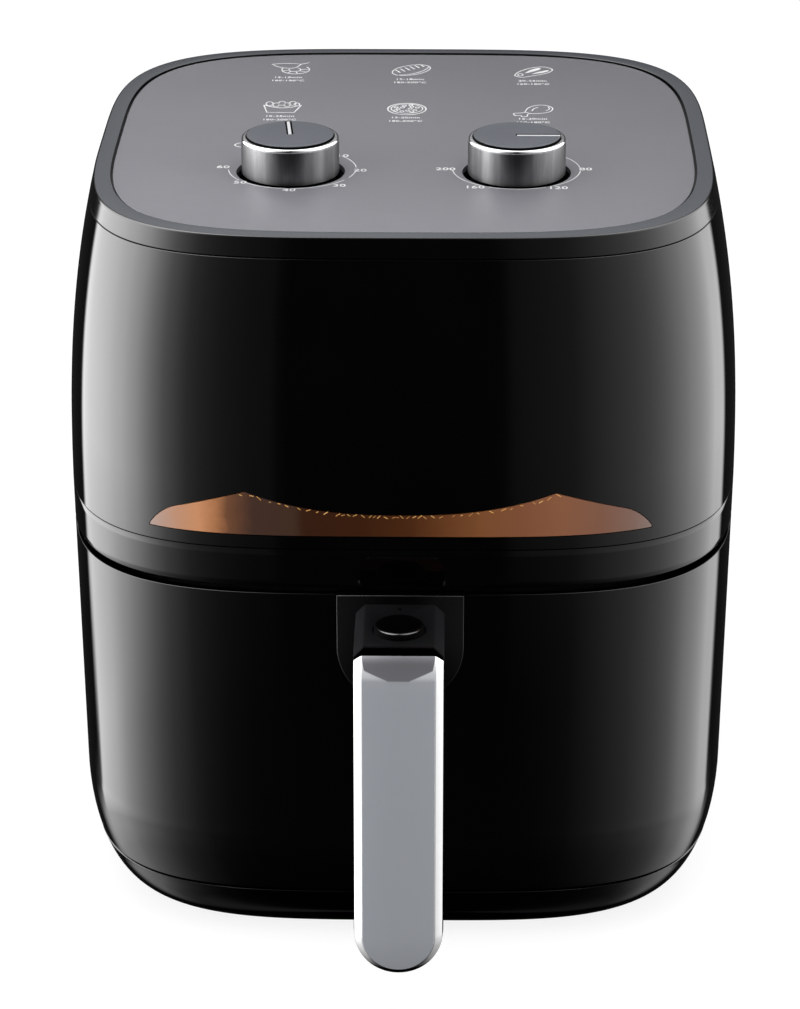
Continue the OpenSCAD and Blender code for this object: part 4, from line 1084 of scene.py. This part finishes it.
def makeIcons():
    w = printing["stroke"]

    def placed(key, points):
        icon = icons[key]
        x, y = icon["place"][0], bodyY + icon["row"] + icon["place"][1]
        wide, tall = icon["scale"]
        return [(x + px * wide * mm, y + py * tall * mm) for px, py in points]

    def line(key, points, closed=False, width=w):
        inkRibbon(placed(key, points), width, closed)

    def patch(key, points):
        inkPatch(placed(key, points))

    # prawn: long head, curled ringed body
    line("prawn", curveThrough([(-8.6, 6.6), (-4, 8.2), (1, 8.0), (4.6, 7.2), (8.0, 9.6)]))
    line("prawn", curveThrough([(-8.6, 6.6), (-5.2, 2.4), (-1.2, 0.4), (2.4, 1.8), (4.6, 7.2)]))
    line("prawn", inkArc(2.4, -1.8, 6.2, 6.6, -200, 40))
    line("prawn", inkArc(2.0, -1.8, 2.6, 3.0, -200, 60))
    for a in (-165, -125, -80, -35, 5):
        line("prawn", [(2.2 + 2.6 * math.cos(math.radians(a)), -1.8 + 3.0 * math.sin(math.radians(a))),
                       (2.4 + 6.2 * math.cos(math.radians(a)), -1.8 + 6.6 * math.sin(math.radians(a)))])
    # loaf: slanting oval with slashes
    line("loaf", inkArc(0, 0, 9.6, 6.2, turn=38, count=40), True)
    line("loaf", curveThrough([(-6.6, -7.4), (0, -5.6), (5.4, -0.6), (8.2, 5.4)]))
    for i in range(6):
        t = i / 5
        cx, cy = -6.2 + 10.6 * t, -1.8 + 8.2 * t
        line("loaf", [(cx - 0.9, cy + 2.0), (cx + 1.3, cy - 1.6)], width=w * 1.3)
    # fish cut: leaf outline with two solid slices
    line("fish", curveThrough([(-8.4, -6.6), (-6.8, -1.4), (-1.6, 5.0), (4.8, 7.4), (8.6, 3.2),
                               (6.4, -2.2), (0, -6.6), (-5.2, -9.2), (-8.4, -6.6)]))
    patch("fish", curveThrough([(-3.8, -2.8), (-1.0, 2.6), (2.6, 5.4), (3.4, 4.0), (0.8, 0.6),
                                (-3.8, -2.8)])[:-1])
    patch("fish", curveThrough([(-0.8, -4.0), (2.4, -0.6), (6.4, 2.0), (6.8, 0.6), (3.8, -2.2),
                                (-0.8, -4.0)])[:-1])
    line("fish", inkArc(-5.8, -5.2, 1.2, 1.8, count=14), True)
    # chips: open tub and sticks
    line("chips", [(-8.8, 1.6), (-6.8, -9.4), (5.8, -9.4), (8.8, 1.6)], width=w * 1.2)
    line("chips", curveThrough([(-8.8, 1.6), (-4, -1.8), (0, -2.6), (4, -1.8), (8.8, 1.6)]), width=w * 1.2)
    for cx, cy, r in ((-6.2, 3.4, 2.0), (-3.0, 1.8, 1.9), (-0.4, 4.2, 2.0), (2.2, 2.0, 1.9), (4.6, 4.0, 2.0),
                      (6.6, 2.6, 1.5)):
        line("chips", inkArc(cx, cy, r * 0.8, r * 1.5, count=16), True)
    # pizza: rimmed round with toppings
    line("pizza", inkArc(0, 0, 9.2, 10.0, count=44), True, w * 1.2)
    line("pizza", inkArc(0, 0.6, 7.6, 8.0, count=40), True)
    for k in range(13):
        a, r = k * 2.4, 1.6 + 4.6 * math.sqrt(k / 12)
        line("pizza", inkArc(r * math.cos(a), 0.6 + r * 1.05 * math.sin(a), 0.9, 1.2, count=10), True)
    # leg: meat and bone
    line("leg", curveThrough([(-3.6, -3.2), (-2.2, 2.6), (1.4, 6.8), (5.6, 6.8), (8.4, 2.8), (7.2, -2.4),
                              (3.4, -5.0), (-0.8, -5.4), (-3.6, -3.2)]))
    line("leg", curveThrough([(-3.4, -3.6), (-5.6, -4.6), (-8.4, -5.2), (-8.0, -8.2), (-5.6, -8.4),
                              (-4.8, -10.2), (-2.8, -9.4), (-2.6, -6.6), (-1.2, -5.4)]))
    line("leg", curveThrough([(6.6, 4.4), (7.0, 1.4), (5.4, -1.0)]))
    line("leg", curveThrough([(-0.6, -1.6), (0.4, 2.0), (2.2, 3.8)]))
    size = printing["small"]
    for icon in icons.values():
        x, y = icon["place"][0] - 0.0005, bodyY + icon["row"] + icon["wordShift"]
        for words, down in zip(icon["words"], printing["lines"]):
            inkWords(words, x, y - down, size, 1.05)


# arcs by their ends in degrees, and numbers by their place beside the knob
scales = {
    "timer": {"shift": (0.0006, 0.0037), "count": 20,
              "arcs": ((41, 4), (-4, -26), (-34, -86), (-94, -136), (-144, -176)),
              "words": (("10", 0.0206, 0.0212), ("20", 0.0285, 0.0017), ("30", 0.0205, -0.0184),
                        ("40", 0.0004, -0.0245), ("50", -0.0199, -0.0149), ("60", -0.0280, 0.0054))},
    "thermostat": {"shift": (0.0, 0.0041), "count": 24,
                   "arcs": ((38, 4), (-4, -56), (-64, -116), (-124, -176)),
                   "words": (("80", 0.0284, 0.0045), ("120", 0.0164, -0.0202), ("160", -0.0173, -0.0198),
                             ("200", -0.0291, 0.0039))},
}


def makeScales():
    for side, scale in scales.items():
        x, y = knobSpots[side]
        shiftX, shiftY = scale["shift"]
        for start, end in scale["arcs"]:
            angles = np.linspace(start, end, scale["count"])
            inkRibbon(arcPoints(x + shiftX, y + shiftY, printing["arcRadius"], angles),
                      printing["stroke"] * 0.8)
        for words, across, along in scale["words"]:
            inkWords(words, x + across, y + along, printing["digit"], printing["wide"])
    x, y = knobSpots["timer"]
    inkRibbon(inkArc(x - 0.0213, y + 0.0356, 0.0036, 0.0030, count=24), printing["stroke"], True)


makeIcons()
makeScales()
addPiece("panelPrint", inkVerts, inkFaces, "printWhite", "housing", slot="pointer_white")
print("panel printed:", len(inkFaces), "faces")


# painted glints of light along the window's upper edge

def skinY(x, z, out=0.0):
    # front surface of the body at a place across and up
    a, b, p = halfWidth - inset(z) + out, halfDepth - inset(z) + out, body["power"]
    return bodyY - b * max(0.0, 1 - (abs(x) / a) ** p) ** (1 / p)


paintedGlints = {
    "reach": 0.064,
    "denseFrom": -0.03,
    "denseTo": 0.012,
    "length": (0.0008, 0.0019),
    "lean": (0.1, 0.95),
    "gap": (0.0002, 0.0019),
    "sparse": (0.0, 0.0032),
    "down": (0.0008, 0.0013),
    "half": (0.00011, 0.00023),
    "lift": 0.00003,
    "thick": 0.00008,
}


def makePaintedGlints():
    verts, faces, thick = [], [], paintedGlints["thick"]
    x = -paintedGlints["reach"]
    while x < paintedGlints["reach"]:
        length = random.uniform(*paintedGlints["length"])
        lean = random.choice((-1, 1)) * random.uniform(*paintedGlints["lean"])
        gap = random.uniform(*paintedGlints["gap"])
        if x > paintedGlints["denseTo"] or x < paintedGlints["denseFrom"]:
            gap += random.uniform(*paintedGlints["sparse"])
        down = random.uniform(*paintedGlints["down"]) + (0.0003 if abs(x) > 0.05 else 0)
        half = random.uniform(*paintedGlints["half"])
        middle = windowZ + windowTop(x) - down
        start = len(verts)
        for ex, ez in ((x, middle - lean * length / 2), (x + length, middle + lean * length / 2)):
            for dz, out in ((-half, 0.0), (half, 0.0), (half * 0.5, thick), (-half * 0.5, thick)):
                verts.append((ex, skinY(ex, ez + dz, out) + paintedGlints["lift"], ez + dz))
        faces += tubeFaces(4, 2, start)
        x += length + gap
    addPiece("windowPaintedGlints", verts, faces, "paintedGlint", "housing", slot="amber_window")


makePaintedGlints()


# drawer

shelves = {"aboveFloor": 0.030, "belowTop": 0.028, "thickness": 0.003, "overlap": 0.0003, "inwards": 0.006}


def makeDrawer():
    low, high = frontBox[0].z, frontBox[1].z
    front = planRing("drawerFront", wallSection(low, high, 30, seams["fine"], wall), "glossBlack", "drawer",
                     slot="gloss_black", stands=("drawer_front",))
    plate = handle["plateWidth"] / 2 + handle["plateGap"]
    middle = high - handle["plateHeight"] + handle["plateWidth"] / 2
    notch = [(plate, high + 0.002), (-plate, high + 0.002)]
    notch += arcPoints(0, middle, plate, np.linspace(180, 360, 49))
    cutPiece(front, [boxCutter((-0.2, frontBox[1].y, low - 0.002), (0.2, bodyY + 0.2, high + 0.002)),
                     prism(notch, bodyY - halfDepth - 0.01, bodyY - halfDepth + 0.04, "y")])
    finishSkin(front)
    # shelves that join the front to the pan
    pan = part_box("drawer_pan")
    for index, z in enumerate((pan[0].z + shelves["aboveFloor"], high - shelves["belowTop"])):
        outer, inner = inset(z) + wall - shelves["overlap"], body["liner"] + shelves["inwards"]
        upper = z + shelves["thickness"]
        section = [(z, outer), (z, inner), (upper, inner), (upper, outer)]
        shelf = planRing("frontShelf%d" % index, section, "satinBlack", "drawer", slot="matte_black")
        cutPiece(shelf, [boxCutter((-0.2, bodyY - halfDepth * 0.62, z - 0.01), (0.2, bodyY + 0.2, z + 0.01))])
        sharpen(shelf, smooth=False)


# handle

handle = {
    "width": 0.036,
    "bevel": 0.0034,
    "flare": 0.0003,
    "armBevel": 0.00385,
    "coverDepth": 0.009,
    "coreDepth": 0.011,
    "stripLift": 0.00035,
    "bendRadius": 0.0113,
    "reach": 0.0387,
    "length": 0.1283,
    "tilt": 3.5,
    "coverFrom": 33,
    "plateWidth": 0.0512,
    "plateHeight": 0.0487,
    "plateGap": 0.0004,
    "plateDepth": 0.006,
    "plateEdge": 0.0004,
    "armDrop": 0.0038,
    "armHeight": 0.024,
}
button = {"play": 0.0002, "rim": 0.0018, "stem": 0.0035, "hole": 0.0004, "holeDepth": 0.0105, "sink": 0.003}
armTop = frontBox[1].z - handle["armDrop"]
armLow = armTop - handle["armHeight"]
bendY = bodyY - halfDepth - handle["reach"]
bendZ = armTop - handle["bendRadius"]
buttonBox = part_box("release_button")
buttonX, buttonY = 0.0, (buttonBox[0].y + buttonBox[1].y) / 2
buttonRadius = (buttonBox[1].x - buttonBox[0].x) / 2


def gripPoint(across, along, depth):
    # along runs from the bend's start: degrees first, then metres down the grip
    # depth goes inwards from the face
    r, end = handle["bendRadius"], 90 - handle["tilt"]
    kind, value = along
    if kind == "bend":
        a = math.radians(value)
        return across, bendY - (r - depth) * math.sin(a), bendZ + (r - depth) * math.cos(a)
    a = math.radians(end)
    return (across, bendY - (r - depth) * math.sin(a) - value * math.cos(a),
            bendZ + (r - depth) * math.cos(a) - value * math.sin(a))


def gripLoft(name, profile, stations, finish, **more):
    # half profile of (half width, depth) mirrored, run along the stations, and turned round the grip's end
    full = profile + [(-x, d) for x, d in reversed(profile) if x > 1e-7]
    count = len(full)
    verts = [gripPoint(x, station, d) for station in stations for x, d in full]
    faces = tubeFaces(count, len(stations))[:-1]
    centre = stations[-1][1]
    turns = 32
    first = len(verts)
    for t in range(turns + 1):
        a = math.pi * t / turns
        verts += [gripPoint(x * math.cos(a), ("grip", centre + x * math.sin(a)), d) for x, d in profile]
    size = len(profile)
    for t in range(turns):
        for i in range(size - 1):
            faces.append((first + t * size + i, first + t * size + i + 1, first + (t + 1) * size + i + 1,
                          first + (t + 1) * size + i))
    return addPiece(name, verts, faces, finish, "drawer", **more)


def makeHandle():
    half, b, r = handle["width"] / 2, handle["bevel"], handle["bendRadius"]
    straight = handle["length"] - half

    def stations(first):
        return ([("bend", a) for a in np.linspace(first, 90 - handle["tilt"], 18)]
                + [("grip", v) for v in np.linspace(0, straight, 14)[1:]])

    soft = 0.00035
    face = [(0, 0), (half - b - 3 * soft, 0), (half - b - soft, soft * 0.15), (half - b, soft * 0.5),
            (half - b + soft, soft * 1.25)]
    lip = half - handle["flare"]
    side = [(lip - soft * 1.25, b - soft), (lip - soft * 0.4, b), (lip, b + soft * 1.6),
            (half, handle["coverDepth"] - 0.0004), (half - 0.0004, handle["coverDepth"]),
            (0, handle["coverDepth"])]
    gripLoft("gripCover", face + side, stations(handle["coverFrom"]), "brightTrim", slot="chrome",
             stands=("handle_cover",), sharp=24)
    t, w = handle["stripLift"], half - b - 0.0002
    gripLoft("gripStrip", [(0, -t), (w - 0.0003, -t), (w - 0.00012, -t * 0.85), (w, -t * 0.4), (w, 0.0004),
                           (0, 0.0004)],
             stations(handle["coverFrom"] + 1), "stripGrey", slot="silver_satin", stands=("handle_strip",),
             sharp=30)
    # black back of the grip, behind the bright cover
    d0, d1 = handle["coverDepth"] - 0.0005, handle["coverDepth"] + handle["coreDepth"]
    back = half - 0.0004
    gripLoft("gripBack", [(0, d0), (back, d0), (back, d1 - 0.003), (back - 0.0009, d1 - 0.0009),
                          (back - 0.003, d1), (0, d1)],
             [("grip", v) for v in np.linspace(0.0005, straight, 12)], "handleBlack", slot="matte_black",
             sharp=30)

    # arm with bevelled upper edges, drawn in where it meets the surround, then over the bend
    ab, e = handle["armBevel"], 0.0003

    def armRing(width, bevel, top, low):
        right = [(0, top), (width - bevel - e, top), (width - bevel + e, top - e),
                 (width - e, top - bevel + e), (width, top - bevel - e), (width, low + 0.001),
                 (width - 0.001, low)]
        return right + [(-x, z) for x, z in reversed(right) if x > 1e-7]

    plateFront = bodyY - halfDepth - 0.001
    section = armRing(half - 0.0002, ab, armTop, armLow)
    rings = [[(x, y, z) for x, z in section] for y in (plateFront + 0.003, bendY)]
    for a in np.linspace(6, handle["coverFrom"] + 8, 7):
        turn = math.radians(a)
        ring = []
        for x, z in section:
            depth = armTop - z
            reach, drop = max(r - depth, 0.0), max(depth - r, 0.0)
            front = bendY - reach * math.sin(turn) - (0.0002 if reach == 0 else 0)
            ring.append((x, front, bendZ + reach * math.cos(turn) - drop))
        rings.append(ring)
    arm = addPiece("handleArm", [p for ring in rings for p in ring], tubeFaces(len(rings[0]), len(rings)),
                   "armBlack", "drawer", slot="matte_black", stands=("handle_base",))
    well = prism(circle(buttonX, buttonY, buttonRadius + button["hole"], 96), armTop - button["holeDepth"],
                 armTop + 0.002, "z")
    pin = prism(circle(0.0, plateFront - 0.0045, 0.00075, 20), armTop - 0.004, armTop + 0.002, "z")
    cutPiece(arm, [well, pin])
    sharpen(arm, 28)
    arm.visible_glossy = False

    # surround plate with a fine bright edge
    pw, high = handle["plateWidth"] / 2, frontBox[1].z
    middle = high - handle["plateHeight"] + pw
    edge, verts = handle["plateEdge"], []
    rings = [(plateFront + handle["plateDepth"], 0), (plateFront + edge, 0),
             (plateFront + edge * 0.3, edge * 0.3), (plateFront, edge)]
    for y, d in rings:
        outline = [(pw - d, high - d), (-pw + d, high - d)]
        outline += arcPoints(0, middle, pw - d, np.linspace(180, 360, 65))
        verts += [(x, y, z) for x, z in outline]
    addPiece("surroundPlate", verts, tubeFaces(len(verts) // len(rings), len(rings)), "handleBlack", "drawer",
             slot="matte_black", sharp=60)

    # release button with a soft rim
    rb, zt, s = buttonRadius - button["play"], buttonBox[1].z, button["rim"]
    shoulder, low, stem = zt - s, buttonBox[0].z, button["stem"]
    profile = [(0, shoulder - 0.0004), (rb - 0.0006, shoulder - 0.0004), (rb - 0.0006, shoulder)]
    profile += arc(rb - s, shoulder, s, 46, 90, 12) + [(rb * 0.5, zt), (0, zt)]
    cap = lathe("releaseButton", profile, buttonX, buttonY, "glossBlack", "button", slot="gloss_black",
                stands=("release_button",))
    # lower side of the button in unreflecting black: painted shade in place of the dark arm it would reflect
    skirtLow = armTop - button["sink"]
    profile = [(rb - 0.002, skirtLow), (rb, skirtLow), (rb, shoulder)]
    profile += arc(rb - s, shoulder, s, 0, 47, 6)[1:] + [(rb - 0.002, shoulder)]
    lathe("buttonSkirt", profile, buttonX, buttonY, "blackWithShade", "button", slot="gloss_black", count=96)
    cap.visible_glossy = False
    lathe("buttonStem", [(0, low + stem), (stem * 0.2, low + stem), (stem, low + 2 * stem),
                         (stem, armTop - 0.0025), (0, armTop - 0.0025)],
          buttonX, buttonY, "satinBlack", "button", slot="gloss_black", count=48)


makeDrawer()
makeHandle()
print("drawer and handle made")


# floor, light and world

studio = {
    "worldLevel": 0.62,
    "topLight": {"place": (0.0, -0.35, 1.25), "size": 1.3, "power": 9.0},
    "leftLight": {"place": (-1.3, -0.9, 0.8), "size": 1.0, "power": 7.0},
    "rightLight": {"place": (1.4, -0.6, 0.8), "size": 1.0, "power": 4.0},
    "floorGlow": 0.85,
    "floorTone": 0.25,
    # brightness seen in gloss, by direction round the object in degrees (0 is the front, negative is left)
    "around": [(-180, 0.02), (-141, 0.02), (-137, 4.0), (-128, 4.4), (-119, 5.3), (-107, 6.5), (-99, 7.0),
               (-83, 6.9), (-69, 5.3), (-57, 3.0), (-48, 1.6), (-39, 0.82), (-35, 0.53), (-29, 0.33),
               (-22, 0.19), (-14, 0.11), (-9.5, 0.09), (-8, 0.020), (4, 0.018), (6, 0.10), (18, 0.19),
               (28, 0.43), (45, 0.82), (55, 1.15), (66, 1.65), (80, 2.45), (95, 3.1), (126, 3.4), (133, 2.8),
               (140, 2.3), (144, 0.02), (180, 0.02)],
    # the same for directions well below the horizon
    "aroundLow": [(-180, 0.02), (-137, 0.02), (-133, 4.2), (-119, 5.3), (-107, 6.0), (-99, 5.7), (-83, 4.4),
                  (-69, 2.9), (-57, 1.65), (-48, 0.95), (-39, 0.55), (-35, 0.35), (-29, 0.22), (-22, 0.118),
                  (-14, 0.055), (-6.5, 0.030), (4, 0.018), (6, 0.03), (18, 0.10), (28, 0.28), (45, 0.64),
                  (55, 0.95), (66, 1.30), (80, 1.9), (95, 3.0), (126, 3.5), (133, 2.9), (138, 2.5),
                  (142, 0.02), (180, 0.02)],
    # and for directions near the ground
    "aroundDeep": [(-180, 0.02), (-150, 0.02), (-144, 0.5), (-138, 1.6), (-130, 2.6), (-119, 3.3),
                   (-107, 3.8), (-99, 3.9), (-83, 3.1), (-69, 2.15), (-57, 1.22), (-48, 0.70), (-39, 0.40),
                   (-29, 0.155), (-22, 0.082), (-14, 0.04), (-6, 0.03), (4, 0.03), (10, 0.04), (18, 0.085),
                   (28, 0.20), (45, 0.46), (55, 0.70), (66, 0.98), (80, 1.45), (95, 2.2), (120, 2.6),
                   (130, 2.3), (138, 1.6), (144, 0.5), (150, 0.02), (180, 0.02)],
    # where the blend into each of these begins and ends, as sine of the elevation
    "aroundLowBlend": (-0.395, -0.470),
    "aroundDeepBlend": (-0.46, -0.53),
    # share of that brightness by height of the direction, as sine of its elevation
    "upright": [(-1.0, 0.02), (-0.93, 0.03), (-0.90, 0.06), (-0.86, 0.14), (-0.84, 0.20), (-0.747, 0.32),
                (-0.657, 0.44), (-0.571, 0.64), (-0.50, 0.72), (-0.45, 0.72), (-0.43, 0.73), (-0.405, 0.79),
                (-0.342, 0.95), (-0.259, 1.0), (1.0, 1.0)],
    # brightness of the ceiling side, added by height
    "overhead": [(0.0, 0.0), (0.20, 0.10), (0.34, 0.45), (0.40, 0.60), (0.62, 0.70), (0.76, 1.6), (0.90, 2.4),
                 (1.0, 2.6)],
    # share of the ceiling's brightness by direction; dim straight in front
    "overheadAround": [(-180, 1.0), (-70, 1.0), (-34, 0.04), (34, 0.04), (70, 0.8), (180, 0.8)],
}


def seenNode(tree, place):
    # 1 for rays that come straight from the camera or through glass
    path = addNode(tree, "LightPath", (place[0] - 300, place[1])).outputs
    return mathNode(tree, "MAXIMUM", place, path["Is Camera Ray"], path["Is Transmission Ray"])


def makeWorld():
    world = bpy.data.worlds.new("studioWorld")
    scene.world = world
    world.use_nodes = True
    tree = world.node_tree
    parts = splitCoords(tree, (-1200, 0), "Generated")
    turned = mathNode(tree, "MULTIPLY", (-1050, -100), parts["Y"], -1.0)
    angle = mathNode(tree, "ARCTAN2", (-900, 0), parts["X"], turned)
    degrees = mathNode(tree, "MULTIPLY", (-750, 0), angle, 180 / math.pi)
    around = rampNode(tree, (-400, 200), degrees, studio["around"], -180, 180)
    for index, key in enumerate(("aroundLow", "aroundDeep")):
        below = rampNode(tree, (-400, 900 + 600 * index), degrees, studio[key], -180, 180)
        share = shareNode(tree, (-400, 1200 + 600 * index), parts["Z"], *studio[key + "Blend"])
        around = mixNode(tree, (100 * index, 700 + 400 * index), share, around, below, "FLOAT")
    upright = rampNode(tree, (-400, -100), parts["Z"], studio["upright"], -1, 1)
    overhead = rampNode(tree, (-400, -400), parts["Z"], studio["overhead"], 0, 1)
    share = rampNode(tree, (-400, -700), degrees, studio["overheadAround"], -180, 180)
    overhead = mathNode(tree, "MULTIPLY", (0, -500), overhead, share)
    gloss = mathNode(tree, "ADD", (200, 0), mathNode(tree, "MULTIPLY", (100, 100), around, upright), overhead)
    glossy = addNode(tree, "LightPath", (100, 600)).outputs["Is Glossy Ray"]
    plain = mixNode(tree, (400, 200), glossy, studio["worldLevel"], gloss, "FLOAT")
    final = mixNode(tree, (600, 300), seenNode(tree, (400, 600)), plain, 1.0, "FLOAT")
    feed(tree, tree.nodes["Background"], Color=(1, 1, 1, 1), Strength=final)


def makeLight(name, spec):
    data = bpy.data.lights.new(name, "AREA")
    data.shape = "SQUARE"
    data.size = spec["size"]
    data.energy = spec["power"]
    light = bpy.data.objects.new(name, data)
    scene.collection.objects.link(light)
    light.location = spec["place"]
    aim = Vector((0, 0.02, 0.16)) - light.location
    light.rotation_mode = "QUATERNION"
    light.rotation_quaternion = aim.to_track_quat("-Z", "Y")
    light.visible_glossy = False
    light.visible_camera = False


def makeFloor():
    mesh = bpy.data.meshes.new("floor")
    steps, reach = 40, 6.0
    spots = [-reach + 2 * reach * i / steps for i in range(steps + 1)]
    row = steps + 1
    faces = [(j * row + i, j * row + i + 1, (j + 1) * row + i + 1, (j + 1) * row + i)
             for j in range(steps) for i in range(steps)]
    mesh.from_pydata([(x, y, cadLow.z) for y in spots for x in spots], [], faces)
    floor = bpy.data.objects.new("floor", mesh)
    scene.collection.objects.link(floor)
    material, tree, _ = newMaterial("floorPaper")
    tree.nodes.clear()
    noise = noiseNode(tree, (-700, 0), coordsOf(tree, (-900, 0), "Generated"), 60)
    tone = rampNode(tree, (-500, 0), noise, [(0.0, studio["floorTone"] * 0.97), (1.0, studio["floorTone"])],
                    0, 1)
    seen = mathNode(tree, "MULTIPLY", (-350, -300), seenNode(tree, (-500, -300)), studio["floorGlow"])
    diffuse = feed(tree, addNode(tree, "BsdfDiffuse", (-200, 0)), Color=tone)
    glow = feed(tree, addNode(tree, "Emission", (-200, -200)), Strength=seen)
    both = addNode(tree, "AddShader", (200, 0))
    tree.links.new(diffuse.outputs[0], both.inputs[0])
    tree.links.new(glow.outputs[0], both.inputs[1])
    feed(tree, addNode(tree, "OutputMaterial", (600, 0)), Surface=both.outputs[0])
    mesh.materials.append(material)
    floor.visible_glossy = False


makeWorld()
for name in ("topLight", "leftLight", "rightLight"):
    makeLight(name, studio[name])
makeFloor()
scene.view_settings.view_transform = "Standard"
print("studio made")
